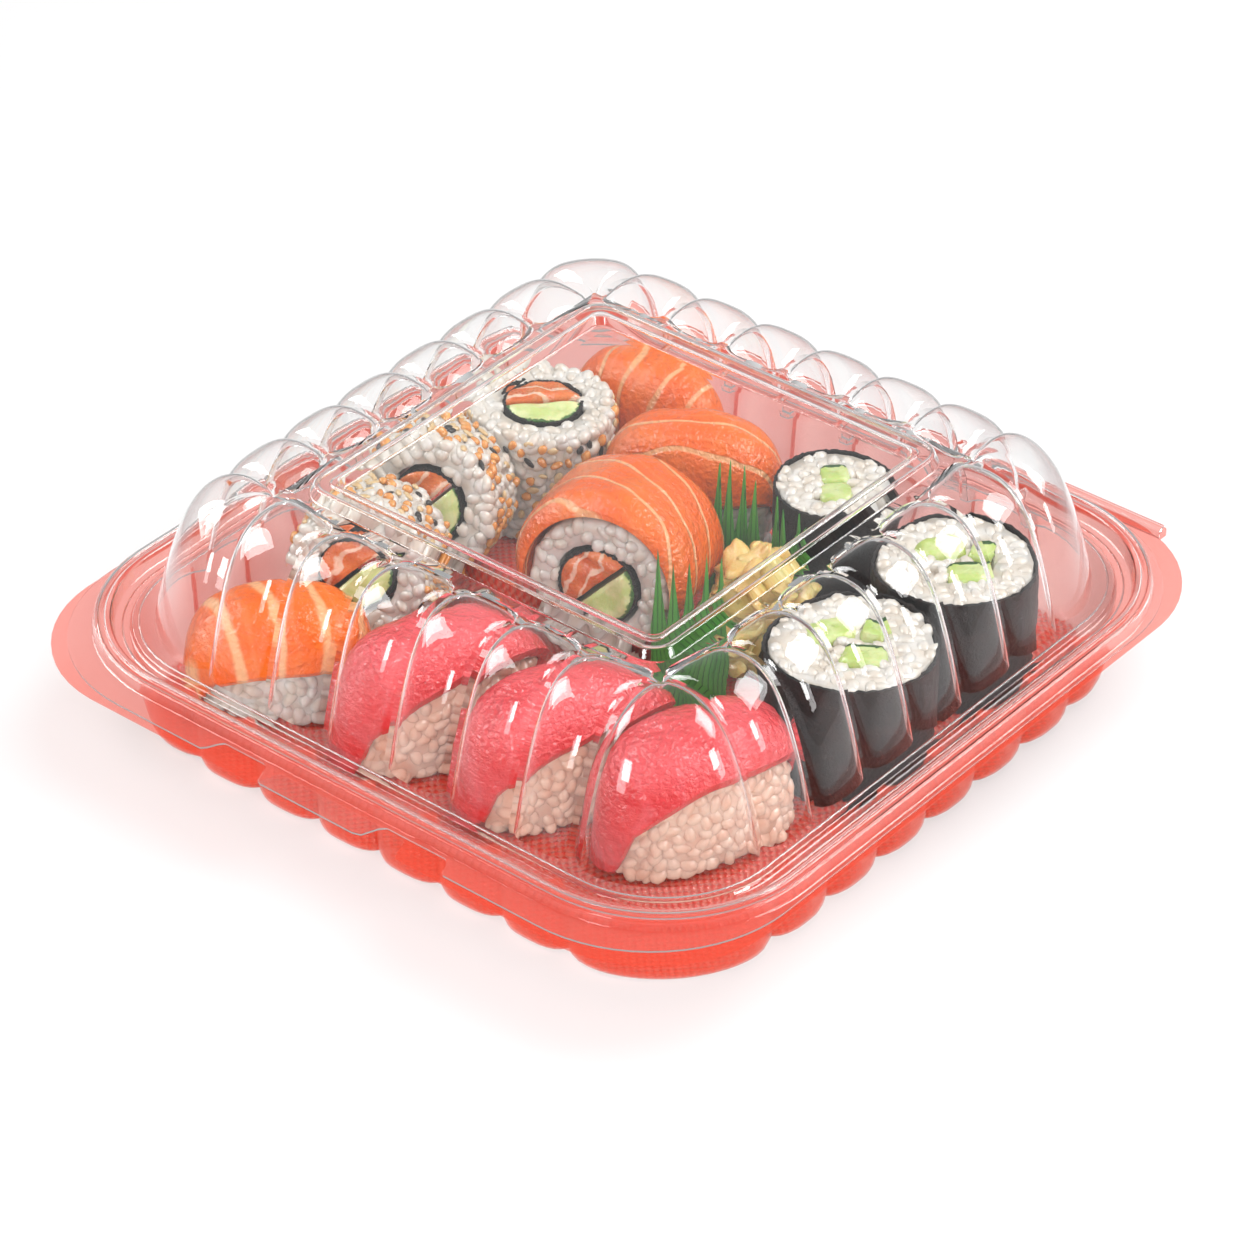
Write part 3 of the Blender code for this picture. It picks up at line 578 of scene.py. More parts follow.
def lid_edge(side, along):
    if side != 0:
        return LID_BACK if side == 2 else LID_SIDE
    tab = (LID_TAB - LID_FRONT) * soft_span(along, *LID_TAB_SPAN)
    ears = soft_span(along, -1.0, LID_EAR_LEFT) + soft_span(along, LID_EAR_RIGHT, 1.0)
    return LID_FRONT + tab + (LID_EAR - LID_FRONT) * ears


def dome_curve(run, t):
    """Inward run and rise of the groove at a share t of its length, and its direction."""
    points = [Vector(p) for p in ((0, 0), DOME_PULL_LOW, DOME_PULL_HIGH, (run, DECK_TOP - SHELF_TOP))]
    back = 1 - t
    spot = (points[0] * back ** 3 + points[1] * 3 * back * back * t + points[2] * 3 * back * t * t
            + points[3] * t ** 3)
    heading = ((points[1] - points[0]) * back * back + (points[2] - points[1]) * 2 * back * t
               + (points[3] - points[2]) * t * t)
    return spot, heading.normalized()


def dome_ring(t, sink=0.0):
    """Loop round the dome: t is 0 at the foot and 1 at the deck's scalloped edge."""
    loop = []
    late = max(0.0, (t - CROWN_FADE) / (1 - CROWN_FADE))
    early = min(1.0, t / 0.03)
    fan = (FOOT_GROOVE - SIDE_END) / (FOOT_GROOVE - DECK_CORNER)
    pivot = SIDE_END + (DECK_CORNER - SIDE_END) * t
    for side, along, angle, share in STATIONS:
        past = min(1.0, max(0.0, (abs(along) - SIDE_END + PITCH) / PITCH))
        deck = DECK_HALF - (DECK_HALF - DECK_CORNER) * past * past
        spot, heading = dome_curve(FOOT_GROOVE - deck, t)
        swell = FLUTE_DEPTH * share * (1 - late * late)
        inward = spot.x - heading.y * swell
        if angle is None:
            inward += CROWN_INSET * share * late
        rise = SHELF_TOP + spot.y + heading.x * swell * early - sink
        reach = max(0.0008, (FOOT_GROOVE - DECK_CORNER - inward) * fan)
        loop.append(fanned(side, along, angle, FOOT_GROOVE - inward, pivot, reach, rise))
    return loop


def toward_middle(loop, shift, height):
    """Loop moved in towards the middle of the lid by shift, at one height."""
    moved = []
    for x, y, _ in loop:
        size = math.hypot(x, y)
        moved.append((x * (1 - shift / size), y * (1 - shift / size), height))
    return moved


def frame_ring(half, radius, height):
    """Rounded square with one point for each station: its sides take the sides', its corners the corners'."""
    mid = half - radius
    return [fanned(side, along / SIDE_END * mid, angle, half, mid, radius, height)
            for side, along, angle, _ in STATIONS]


clear = Finish("clear_sheet")
# Painted shade: the clear sheet is painted grey where it is seen edge on, for the dark edges of the plastic.
clear_edge = clear.node("ShaderNodeLayerWeight", {}, {"Blend": 0.40}, out=1)
clear_tint = clear.blend(clear_edge.over(0.35, 0.95), CLEAR_FACE, CLEAR_EDGE)
clear_skin = clear.skin(clear_tint, 0.003 + clear.noise(0.008, 3.0) * 0.006,
                        clear.bump(clear.noise(0.035, 1.0), 0.00006), IOR=CLEAR_IOR, Transmission_Weight=1.0)
clear_sheet = clear.done(clear_skin)

lid_rows = [ring(lid_edge, LID_CORNER, FLANGE_TOP)]
for out, height in filleted(((LID_SIDE, FLANGE_TOP, 0.0), *LID_RIM))[1:]:
    lid_rows.append(even_ring(out, RIM_CORNER + out - RIM_OUT, height))
lid_rows += [dome_ring((i / DOME_ROWS) ** 1.15) for i in range(DOME_ROWS)]
lip_ring = dome_ring(1.0, DECK_STEP)
lid_rows += [lip_ring, toward_middle(lip_ring, 0.00025, DECK_TOP - 0.0001),
             toward_middle(lip_ring, 0.0006, DECK_TOP)]
for out, height in filleted(FRAME_PROFILE):
    lid_rows.append(frame_ring(out, max(0.003, out - FRAME_PROFILE[1][0] + FRAME_RADIUS), height))
lid_rows += closing_rows(lid_rows[-1])
lid_sheet = thickened(upright(skin_mesh(lid_rows)), SHEET)
lip = arc(LIP_OUT, 90, 180, 10)
lip += [(HINGE[0] - LIP_OUT, FLANGE_TOP), (LID_BACK - LIP_OVERLAP, FLANGE_TOP),
        (LID_BACK - LIP_OVERLAP, LIP_UNDER), (HINGE[0] - LIP_IN, LIP_UNDER)]
lip += arc(LIP_IN, 180, 90, 10)
lid_piece = set_out("lid_moulding", joined([lid_sheet, bar(lip)]), clear_sheet, "lid",
                    ["lid"], sharp=50)
lid_piece.visible_glossy = False
lid_piece.visible_diffuse = False
lid_piece.visible_shadow = False


# Salmon. Slices cut thin across the fillet: three lie over pressed rice as nigiri, and one is bent over the
# roll in the middle. The pale lines are the fat between the flakes, which run another way in each slice.
UPRIGHT_ROLLS = {      # middle, radius, length
    "cucumber_roll_small": ((0.0160, 0.0630), 0.0160, 0.0330),
    "cucumber_roll_back": ((0.0597, 0.0550), 0.0212, 0.0340),
    "cucumber_roll_front": ((0.0612, 0.0112), 0.0219, 0.0340),
    "uramaki_back": ((-0.0660, 0.0465), 0.0190, 0.0320),
}
LYING_ROLLS = {        # middle of the near face, radius, length, turn, tip in degrees
    "uramaki_middle": ((-0.0646, -0.0015), 0.0183, 0.0240, 25, 18),
    "uramaki_left": ((-0.0596, -0.0330), 0.0183, 0.0240, 25, 18),
    "salmon_roll": ((-0.0100, 0.0010), 0.0190, 0.0300, 18, 8),
}
FOOD_FLOOR = 0.0010
FOOD_BED = 0.0009
LAYER_GAP = 0.0006
NORI_THICK = 0.0008
RING_SHARE = 0.60
ROLL_WOBBLE = 0.015


def roll_place(name):
    """Matrix, radius and length of a roll whose face looks to -Y at Y = 0."""
    if name in UPRIGHT_ROLLS:
        middle, radius, length = UPRIGHT_ROLLS[name]
        at = Matrix.Translation((*middle, FOOD_FLOOR + length)) @ Matrix.Rotation(-math.pi / 2, 4, "X")
        return at, radius, length
    face, radius, length, turn, tip = LYING_ROLLS[name]
    tilt = math.radians(tip)
    height = FOOD_FLOOR + length * math.sin(tilt) + radius * math.cos(tilt)
    spin = Matrix.Rotation(math.radians(turn), 4, "Z") @ Matrix.Rotation(-tilt, 4, "X")
    return Matrix.Translation((*face, height)) @ spin, radius, length


NIGIRI = {             # middle, turn in degrees, length, width, height, thickness of the fish
    "salmon_nigiri_corner": ((-0.0560, 0.0775), 6, 0.045, 0.0215, 0.0345, 0.0055),
    "salmon_nigiri_back": ((-0.0240, 0.0560), 32, 0.048, 0.0265, 0.040, 0.0065),
    "salmon_nigiri_left": ((-0.0605, -0.0610), 45, 0.047, 0.0285, 0.033, 0.0060),
    "tuna_nigiri_left": ((-0.0190, -0.0480), 70, 0.059, 0.0315, 0.036, 0.0060),
    "tuna_nigiri_middle": ((0.0180, -0.0450), 70, 0.059, 0.0315, 0.036, 0.0060),
    "tuna_nigiri_right": ((0.0540, -0.0385), 67, 0.055, 0.0320, 0.036, 0.0060),
}
LIFT = {               # how far up its right side a slice is cut short, as a share of the height
    "salmon_nigiri_corner": 0.15, "salmon_nigiri_back": 0.30, "salmon_nigiri_left": 0.30,
    "tuna_nigiri_left": 0.66, "tuna_nigiri_middle": 0.60, "tuna_nigiri_right": 0.62,
}
SLICE_POWER = 2.6
FISH_SIDE = 0.0030
SKIN_GAP = 0.0004
SLICE_HANG = (0.52, 0.30, 0.38)
SLICE_ORANGE = (0.95, 0.135, 0.002)
SLICE_DEEP = (0.88, 0.095, 0.001)
SLICE_PINK = (0.95, 0.180, 0.010)
SLICE_FAT = (0.95, 0.50, 0.24)
FAT_LINES = {          # pitch, how thin the lines are, lean in degrees, bend
    "salmon_nigiri_corner": (0.0085, 0.80, 0.0, 9.0),
    "salmon_nigiri_back": (0.0078, 0.90, 90.0, -7.0),
    "salmon_nigiri_left": (0.0105, 0.55, 20.0, 12.0),
}


def bedded(points):
    """Points of a piece of food, none of them lower than the tray's floor."""
    return [(x, y, max(z, FOOD_BED)) for x, y, z in points]


def slab_mesh(middle, turn, length, width, height, fish, seed, lift, steps=112, rows=26):
    """Slice of fish over pressed rice: under side, thick rounded edge, and upper side."""
    half_x, half_y = length / 2 - FISH_SIDE - SKIN_GAP, width / 2 - FISH_SIDE - SKIN_GAP
    waist = 0.42 * (height - fish)
    dome = height - fish - SKIN_GAP - waist
    at = Matrix.Translation((*middle, FOOD_FLOOR)) @ Matrix.Rotation(math.radians(turn), 4, "Z")
    rng = np.random.default_rng(seed)
    shifts = rng.uniform(0, math.tau, 8)
    mean, end, side = SLICE_HANG

    def unit(angle):
        c, s = math.cos(angle), math.sin(angle)
        size = (abs(c) ** SLICE_POWER + abs(s) ** SLICE_POWER) ** (-1 / SLICE_POWER)
        return c * size, s * size

    def spot(angle, level, girth, grow_side, grow_top, drop=0.0):
        c, s = unit(angle)
        wave = 1 + 0.010 * math.sin(3 * angle + shifts[0]) + 0.006 * math.sin(7 * angle + shifts[1])
        x = (half_x + grow_side * wave) * girth * c
        y = (half_y + grow_side * wave) * girth * s
        ripple = 0.00022 * math.sin(x * 420 + shifts[2] + 2 * math.sin(y * 300)) * min(1.0, grow_top * 400)
        return Vector((x, y, waist + (dome + grow_top) * level - drop + ripple * level))

    def rim(angle):
        """Level and drop of the slice's lower edge: on the right it is cut short and bares the rice."""
        short = min(1.0, max(0.0, -math.sin(angle) + 0.30 * math.cos(angle) - 0.05))
        level = lift * short * short * (3 - 2 * short)
        hang = mean - end * math.cos(angle) + side * math.sin(angle)
        hang += 0.035 * math.sin(5 * angle + shifts[3]) + 0.02 * math.sin(11 * angle + shifts[4])
        return level, waist * hang * max(0.0, 1 - level * 6)

    def girth(level):
        return (1 - level ** SLICE_POWER) ** (1 / SLICE_POWER)

    over_top = SKIN_GAP + fish
    over_side = SKIN_GAP + FISH_SIDE
    levels = [math.sin(math.pi / 2 * r / rows) ** (2 / SLICE_POWER) for r in range(rows)]
    angles = [math.tau * i / steps for i in range(steps)]
    rims = [rim(a) for a in angles]

    def skin_loop(share, out, top):
        loop = []
        for a, (low, _) in zip(angles, rims):
            level = low + (1 - low) * share
            loop.append(spot(a, level, girth(level), out, top))
        return loop

    def rim_loop(share, drop_share=1.0):
        out, top = SKIN_GAP + FISH_SIDE * share, SKIN_GAP + fish * share
        bulge = 0.0011 * math.sin(math.pi * share)
        return [spot(a, low, girth(low), out, top, drop * drop_share + bulge)
                for a, (low, drop) in zip(angles, rims)]

    loops = [skin_loop(share, SKIN_GAP, SKIN_GAP) for share in reversed(levels)]
    loops += [rim_loop((1 - math.cos(math.pi * k / 7)) / 2) for k in range(8)]
    loops.append(rim_loop(1.0, 0.5))
    loops += [skin_loop(share, over_side, over_top) for share in levels]
    return solid(bedded(at @ p for loop in loops for p in loop), len(loops))


def sliced_salmon(name, phase_of, pitch, broad, deep_below):
    """Face of a slice: phase_of(finish) gives metres measured across the lines of fat."""
    finish = Finish(name)
    wander = finish.noise(0.022, 1.5)
    grain = finish.noise(0.0014)
    wet = finish.noise(0.0022, 4.0, distortion=0.6)
    phase = phase_of(finish) + wander * 0.008
    band = (phase * (math.tau / pitch)).sine()
    line = (band + (finish.noise(0.004) - 0.5) * 0.10).over(broad, 0.99)
    faint = (phase * (2.0 * math.tau / pitch)).sine().over(0.5, 1.0) * 0.08
    cloud = finish.noise(0.012).over(0.35, 0.70)
    flesh = finish.blend(cloud, SLICE_ORANGE, SLICE_PINK)
    # Painted shade: the flesh is painted a deeper orange lower down the slice, where less light falls.
    height = finish.along((0, 0, deep_below), (0, 0, 1))
    flesh = finish.blend(height.over(-0.010, 0.006), SLICE_DEEP, flesh)
    share = line * 0.85 + faint
    return finish.coat(finish.blend(share, flesh, SLICE_FAT), 0.06 + wet * 0.09,
                       finish.bump(wet + grain * 0.90 - line * 0.25, 0.00080), 0.10, 0.0015,
                       Specular_IOR_Level=0.40)


draped = {}


def drape(name, face, seed):
    """Lay a slice over its rice, in place of its node."""
    slab = slab_mesh(*NIGIRI[name], seed, LIFT[name])
    draped[name + "_rice"] = set_out(name + "_slab", slab, face, "tray", [name + "_fish"], sharp=70)


for seed, (name, (pitch, broad, lean, bend)) in enumerate(FAT_LINES.items()):
    middle, turn, _, _, height, _ = NIGIRI[name]
    yaw, skew = math.radians(turn), math.radians(lean)
    along = (math.cos(yaw + skew), math.sin(yaw + skew), 0.0)
    athwart = (-math.sin(yaw + skew), math.cos(yaw + skew), 0.0)

    def phase_of(finish, origin=(*middle, 0.0), along=along, athwart=athwart, bend=bend):
        side = finish.along(origin, athwart)
        return finish.along(origin, along) + side * side * bend

    drape(name, sliced_salmon(name + "_face", phase_of, pitch, broad, height * 0.55), 20 + seed)

DRAPE_THICK = 0.0055
DRAPE_HALF_ANGLE = 100
DRAPE_OVERHANG = 0.0012


def bent_slice(radius, length, at, steps=96, rows=30):
    """Slice bent over the roll: thin at both lower edges, rounded at its two cut ends."""
    vertices = []
    for share in (0.5 - 0.5 * math.cos(math.pi * r / rows) for r in range(rows + 1)):
        y = -DRAPE_OVERHANG + share * (length + 2 * DRAPE_OVERHANG)
        size = 1 - abs(2 * share - 1) ** 7 * 0.75
        loop = []
        for step in range(steps + 1):
            across = 2 * step / steps - 1
            angle = math.radians(90 - across * DRAPE_HALF_ANGLE)
            thick = DRAPE_THICK * size * math.sqrt(1.04 - across ** 4)
            thick += 0.00025 * math.sin(9 * angle + y * 260) * (1 - abs(across))
            loop.append((radius + LAYER_GAP + thick, angle))
        for step in range(steps, -1, -1):
            angle = math.radians(90 - (2 * step / steps - 1) * DRAPE_HALF_ANGLE)
            loop.append((radius + LAYER_GAP, angle))
        vertices += [tuple(at @ Vector((r * math.cos(a), y, r * math.sin(a)))) for r, a in loop]
    count = 2 * steps + 2
    faces = loop_faces(rows + 1, count)
    for start in (0, rows * count):
        for i in range(steps):
            quad = (start + i, start + i + 1, start + count - 2 - i, start + count - 1 - i)
            faces.append(quad if start == 0 else quad[::-1])
    return outward(mesh_of(vertices, faces))


roll_at, roll_radius, roll_length = roll_place("salmon_roll")
roll_axis = tuple(roll_at.to_3x3() @ Vector((0, 1, 0)))
roll_right = tuple(roll_at.to_3x3() @ Vector((1, 0, 0)))


def arching(finish):
    """Metres across the lines that arch over the roll, drawn back a little on its left."""
    side = finish.along(tuple(roll_at.translation), roll_right)
    return finish.along(tuple(roll_at.translation), roll_axis) + side * 0.35 + side * side * 10.0


drape_face = sliced_salmon("salmon_roll_slice_face", arching, 0.0105, 0.90, 0.022)
set_out("salmon_roll_bent_slice", bent_slice(roll_radius, roll_length, roll_at), drape_face,
        "tray", ["salmon_roll_slice"], sharp=70)


# Tuna. Thick slices of red tuna over pressed rice, deep clear red down the cut sides, with fine fibres across;
# the lighter pink over the top is painted sheen, where the light falls from above.
TUNA_RED = (0.84, 0.040, 0.044)
TUNA_DEEP = (0.72, 0.018, 0.024)
TUNA_PINK = (0.88, 0.115, 0.130)
for seed, name in enumerate(("tuna_nigiri_left", "tuna_nigiri_middle", "tuna_nigiri_right")):
    middle, turn, _, _, height, _ = NIGIRI[name]
    yaw = math.radians(turn)
    tuna = Finish(name + "_face")
    along = tuna.along((*middle, 0.0), (math.cos(yaw), math.sin(yaw), 0.0))
    side = tuna.along((*middle, 0.0), (-math.sin(yaw), math.cos(yaw), 0.0))
    fibre = tuna.noise(0.0016, 4.0, stretch=(0.6, 0.6, 2.4), distortion=0.8)
    grain = tuna.noise(0.0016)
    cloud = tuna.noise(0.011).over(0.30, 0.72)
    flake = ((along + side * side * 8.0 + cloud * 0.004) * (math.tau / 0.010)).sine().over(0.55, 1.0)
    # Painted sheen: the top of each slice is painted a lighter pink, as if lit from above; the pink flake lines
    # are the flesh's own.
    top = tuna.along((0, 0, height), (0, 0, 1)).over(-0.012, -0.001)
    red = tuna.blend(cloud, TUNA_DEEP, TUNA_RED)
    red = tuna.blend(flake * 0.35, red, TUNA_PINK)
    tuna_colour = tuna.blend(top * (0.45 + cloud * 0.5), red, TUNA_PINK)
    tuna_bump = tuna.bump(fibre * 0.6 + grain * 1.4 + flake * 0.2, 0.0009)
    drape(name, tuna.coat(tuna_colour, 0.05 + fibre * 0.10, tuna_bump, 0.18), 30 + seed)


# Rice. Short plump grains pressed together, moist and half clear, over a core of the same rice. They lie
# on every side of a piece that no fish, seaweed or filling covers.
GRAIN_LONG = 0.0052
GRAIN_WIDE = 0.0035
GRAIN_SINK = 0.0013
GRAIN_SPACING = 0.00255
CORE_SINK = 0.0006
COVER_REACH = 0.0018
RICE_WHITE = (0.80, 0.76, 0.70)
RICE_SHADE = (0.72, 0.63, 0.53)
# Painted red bounce light: the rice under the tuna is painted pink for the red light that the tray throws onto
# it.
RICE_BLUSH = (0.88, 0.60, 0.47)
RICE_BLUSH_SHADE = (0.84, 0.49, 0.36)


def points_on(node, spacing, seed, tries=34):
    """Evenly scattered places on a node's skin, as (place, outward direction)."""
    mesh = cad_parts[node].data
    mesh.calc_loop_triangles()
    corners = np.array([v.co for v in mesh.vertices])
    tris = corners[np.array([t.vertices for t in mesh.loop_triangles])]
    cross = np.cross(tris[:, 1] - tris[:, 0], tris[:, 2] - tris[:, 0])
    area = np.linalg.norm(cross, axis=1) / 2
    rng = np.random.default_rng(seed)
    count = int(area.sum() / spacing ** 2 * tries / 10)
    picked = rng.choice(len(tris), count, p=area / area.sum())
    u, v = rng.random(count), rng.random(count)
    flip = u + v > 1
    u[flip], v[flip] = 1 - u[flip], 1 - v[flip]
    spots = tris[picked, 0] + u[:, None] * (tris[picked, 1] - tris[picked, 0]) \
        + v[:, None] * (tris[picked, 2] - tris[picked, 0])
    normals = cross[picked] / (2 * area[picked, None])
    taken, cells = [], {}
    for spot, normal in zip(spots, normals):
        cell = tuple(np.floor(spot / spacing).astype(int))
        near = [p for dx in (-1, 0, 1) for dy in (-1, 0, 1) for dz in (-1, 0, 1)
                for p in cells.get((cell[0] + dx, cell[1] + dy, cell[2] + dz), ())]
        if all(((spot - p) ** 2).sum() > spacing ** 2 for p in near):
            cells.setdefault(cell, []).append(spot)
            taken.append((Vector(spot), Vector(normal)))
    return taken


def cover_of(meshes):
    """Search tree over what may cover a piece."""
    vertices, faces = [], []
    for mesh in meshes:
        start = len(vertices)
        vertices += [v.co.copy() for v in mesh.vertices]
        faces += [[start + i for i in p.vertices] for p in mesh.polygons]
    return BVHTree.FromPolygons(vertices, faces)


def ball():
    """Points and faces of a ball of radius 1."""
    bm = bmesh.new()
    bmesh.ops.create_icosphere(bm, subdivisions=2, radius=1.0)
    points = np.array([v.co for v in bm.verts])
    faces = np.array([[v.index for v in f.verts] for f in bm.faces])
    bm.free()
    return points, faces


def bare(spot, normal, covers, reach):
    """Whether nothing lies over a place."""
    return all(cover.ray_cast(spot + normal * 1e-5, normal, reach)[0] is None for cover in covers)


def grain_form():
    """A grain of rice: a ball drawn out, a little bent and blunt at one end."""
    points, faces = ball()
    blunt = 1 + 0.10 * points[:, 0]
    return np.stack([points[:, 0] * GRAIN_LONG / 2, points[:, 1] * GRAIN_WIDE / 2 * blunt,
                     points[:, 2] * GRAIN_WIDE / 2 * blunt - 0.00035 * points[:, 0] ** 2], 1), faces


GRAIN_POINTS, GRAIN_FACES = grain_form()


def facing(normal, angle):
    """A direction in the surface, turned by an angle, and the axes that it makes with the normal."""
    side = Matrix.Rotation(angle, 3, normal) @ normal.orthogonal().normalized()
    return side, Matrix((side, normal.cross(side), normal)).transposed()


def laid(form, axes, spot):
    """Points of a form set on a place, none of them under the tray's floor."""
    moved = form @ np.array(axes).T + np.array(spot)
    moved[:, 2] = np.maximum(moved[:, 2], FOOD_BED)
    return moved


def scattered(spots, form, faces, rng, sink, sizes=(-0.12, 0.12), tilt=None):
    """Copies of a form laid on places, each turned at random; with a tilt they also roll and lean out."""
    vertices, polygons = [], []
    for spot, normal in spots:
        side, axes = facing(normal, rng.uniform(0, math.tau))
        if tilt:
            lean = Matrix.Rotation(math.radians(rng.normal(0, tilt)), 3, side.cross(normal))
            axes = lean @ Matrix.Rotation(rng.uniform(0, math.tau), 3, side) @ axes
        polygons.append(faces + len(vertices) * len(form))
        vertices.append(laid(form * (1 + rng.uniform(*sizes, 3)), axes, spot - normal * sink))
    return np.concatenate(vertices), np.concatenate(polygons)


def sunk_copy(node, depth):
    """A node's own skin, drawn in by depth."""
    bm = bmesh.new()
    bm.from_mesh(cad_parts[node].data)
    bmesh.ops.remove_doubles(bm, verts=bm.verts, dist=1e-6)
    bm.normal_update()
    moves = [v.normal * depth for v in bm.verts]
    for vertex, move in zip(bm.verts, moves):
        vertex.co -= move
    mesh = bpy.data.meshes.new(node + "_core")
    bm.to_mesh(mesh)
    bm.free()
    return mesh


def cooked(name, shade, white):
    finish = Finish(name)
    patch = finish.noise(0.004)
    fine = finish.noise(0.0008)
    return finish.coat(finish.blend(patch.over(0.30, 0.70), shade, white), 0.26 + fine * 0.16,
                       finish.bump(fine, 0.00006), 0.25, Subsurface_Radius=(1.0, 0.9, 0.75))


rice_white = cooked("cooked_rice", RICE_SHADE, RICE_WHITE)
rice_blush = cooked("rice_under_tuna", RICE_BLUSH_SHADE, RICE_BLUSH)

food_nodes = [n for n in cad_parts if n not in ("tray", "lid")]
rice_nodes = [n for n in food_nodes if n.endswith("_rice")]
for seed, node in enumerate(rice_nodes):
    rng = np.random.default_rng(100 + seed)
    own_slice = node.replace("_rice", "_fish")
    covers = [cover_of([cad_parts[n].data for n in food_nodes if n not in (node, own_slice)])]
    if node in draped:
        covers.append(cover_of([draped[node].data]))
    spots = [row for row in points_on(node, GRAIN_SPACING, seed) if bare(*row, covers, COVER_REACH)]
    vertices, faces = scattered(spots, GRAIN_POINTS, GRAIN_FACES, rng, GRAIN_SINK, tilt=16)
    if node.startswith("cucumber"):
        low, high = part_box(node)
        middle = np.array([(low[0] + high[0]) / 2, (low[1] + high[1]) / 2])
        offset = vertices[:, :2] - middle
        past = np.linalg.norm(offset, axis=1) / ((high[0] - low[0]) / 2)
        vertices[:, :2] = middle + offset / np.maximum(past, 1.0)[:, None]
    grains = mesh_of(vertices.tolist(), faces.tolist())
    # Rice under the tuna takes the pink of painted red bounce light.
    set_out(node + "_grains", joined([sunk_copy(node, CORE_SINK), grains]),
            rice_blush if node.startswith("tuna") else rice_white, "tray", [node], sharp=60)


# Toppings. Clumps of orange roe and white and black sesame are pressed into the outside of the three
# uramaki before they are cut.
TOPPINGS = (           # kind, colour, shade, roughness, size of the patches, lump, how far it sinks in
    ("roe", (0.86, 0.40, 0.11), (0.72, 0.26, 0.06), 0.22, 0.0012, (0.0030, 0.0024, 0.0022, 0.10, 5), -0.0002),
    ("white_sesame", (0.80, 0.60, 0.34), (0.70, 0.47, 0.22), 0.35, 0.0008,
     (0.0030, 0.0018, 0.0012, 0.02, 6), -0.0003),
    ("black_sesame", (0.025, 0.022, 0.020), (0.012, 0.011, 0.010), 0.32, 0.0008,
     (0.0030, 0.0018, 0.0012, 0.02, 7), -0.0003),
)
TOPPING_REACH = 0.0025
TOPPING_SPACING = 0.0026
TOPPING_SHARES = (0, 0.46, 0.74, 0.85)


def topping(name, colour, shade, roughness, size):
    finish = Finish(name)
    patch = finish.noise(size, 3.0)
    return finish.coat(finish.blend(patch.over(0.35, 0.65), shade, colour), roughness,
                       finish.bump(finish.noise(size / 4), 0.0001))


def lump(long, wide, tall, rough, seed):
    """A rounded lump, drawn out and a little uneven."""
    points, faces = ball()
    rng = np.random.default_rng(seed)
    waves = rng.normal(0, 2.0, (4, 3))
    points = points * (1 + rough * np.sin(points @ waves.T).sum(1)[:, None] / 2)
    return points * (long / 2, wide / 2, tall / 2), faces


toppings = []
for kind, colour, shade, roughness, size, lump_size, sink in TOPPINGS:
    toppings.append((kind, topping(kind, colour, shade, roughness, size), lump(*lump_size), sink))
for seed, name in enumerate(("uramaki_back", "uramaki_middle", "uramaki_left")):
    at, radius, length = roll_place(name)
    back = at.inverted()
    rng = np.random.default_rng(300 + seed)
    covers = [cover_of([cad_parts[n].data for n in food_nodes if not n.startswith(name)])]
    outside = []
    for spot, normal in points_on(name + "_rice", TOPPING_SPACING, 40 + seed):
        local, out = back @ spot, back.to_3x3() @ normal
        on_side = math.hypot(local.x, local.z) > 0.9 * radius and abs(out.y) < 0.5
        if on_side and 0.001 < local.y < length - 0.001 and bare(spot, normal, covers, TOPPING_REACH):
            outside.append((spot, normal))
    rng.shuffle(outside)
    outside = [(Vector(s), Vector(n)) for s, n in outside]
    shares = [int(len(outside) * share) for share in TOPPING_SHARES]
    for i, (kind, finish, (form, faces), sink) in enumerate(toppings):
        vertices, faces = scattered(outside[shares[i]:shares[i + 1]], form, faces, rng, sink, (-0.3, 0.25))
        set_out(f"{name}_{kind}", mesh_of(vertices.tolist(), faces.tolist()), finish, "tray")


# Nori. One thin black sheet of pressed seaweed goes round each roll and laps over itself at the seam; its
# cut edge stands a little ragged at the faces.
NORI_BLACK = (0.0035, 0.0038, 0.0035)
NORI_BROWN = (0.022, 0.010, 0.008)
NORI_GLINT = 0.0007
NORI_TURNS = 1.04
NORI_LAP = 0.00035
NORI_RAGGED = 0.00022


def out_of_round(radius, angle, phase):
    return radius * (1 - ROLL_WOBBLE + ROLL_WOBBLE * math.sin(3 * angle + phase))


def nori_sheet(outer, thick, length, phase, at, steps=144, rows=12):
    """Sheet wound once round the roll, its last part lying over its first."""
    rng = np.random.default_rng(500 + int(phase))
    ragged = rng.uniform(-NORI_RAGGED, NORI_RAGGED, (2, steps + 1))
    loops = []
    for layer in (0, 1):
        for row in range(rows + 1):
            y = length * row / rows
            loop = []
            for i in range(steps + 1):
                angle = math.tau * i / steps * NORI_TURNS
                lap = NORI_LAP * min(1.0, max(0.0, (i / steps - 0.90) / 0.06))
                crease = 0.00012 * math.sin(37 * angle + 5 * math.sin(y * 300 + phase))
                radius = out_of_round(outer, angle, phase) - (thick if layer else 0.0) + lap + crease - 0.0002
                edge = ragged[0 if row == 0 else 1, i] if row in (0, rows) else 0.0
                loop.append(at @ Vector((radius * math.cos(angle), y + edge, radius * math.sin(angle))))
            loops.append(loop)
    count = steps + 1
    inner = (rows + 1) * count
    faces = []
    for row in range(rows):
        a, b = row * count, inner + row * count
        faces += [(a, a + count, b + count, b), (b + steps, b + steps + count, a + steps + count, a + steps)]
        for a in range(row * count, row * count + steps):
            b = inner + a
            faces += [(a, a + 1, a + 1 + count, a + count), (b + count, b + count + 1, b + 1, b)]
    for a in range(steps):
        b, c, d = inner + a, rows * count + a, inner + rows * count + a
        faces += [(b, b + 1, a + 1, a), (c, c + 1, d + 1, d)]
    return outward(mesh_of([p for loop in loops for p in loop], faces))


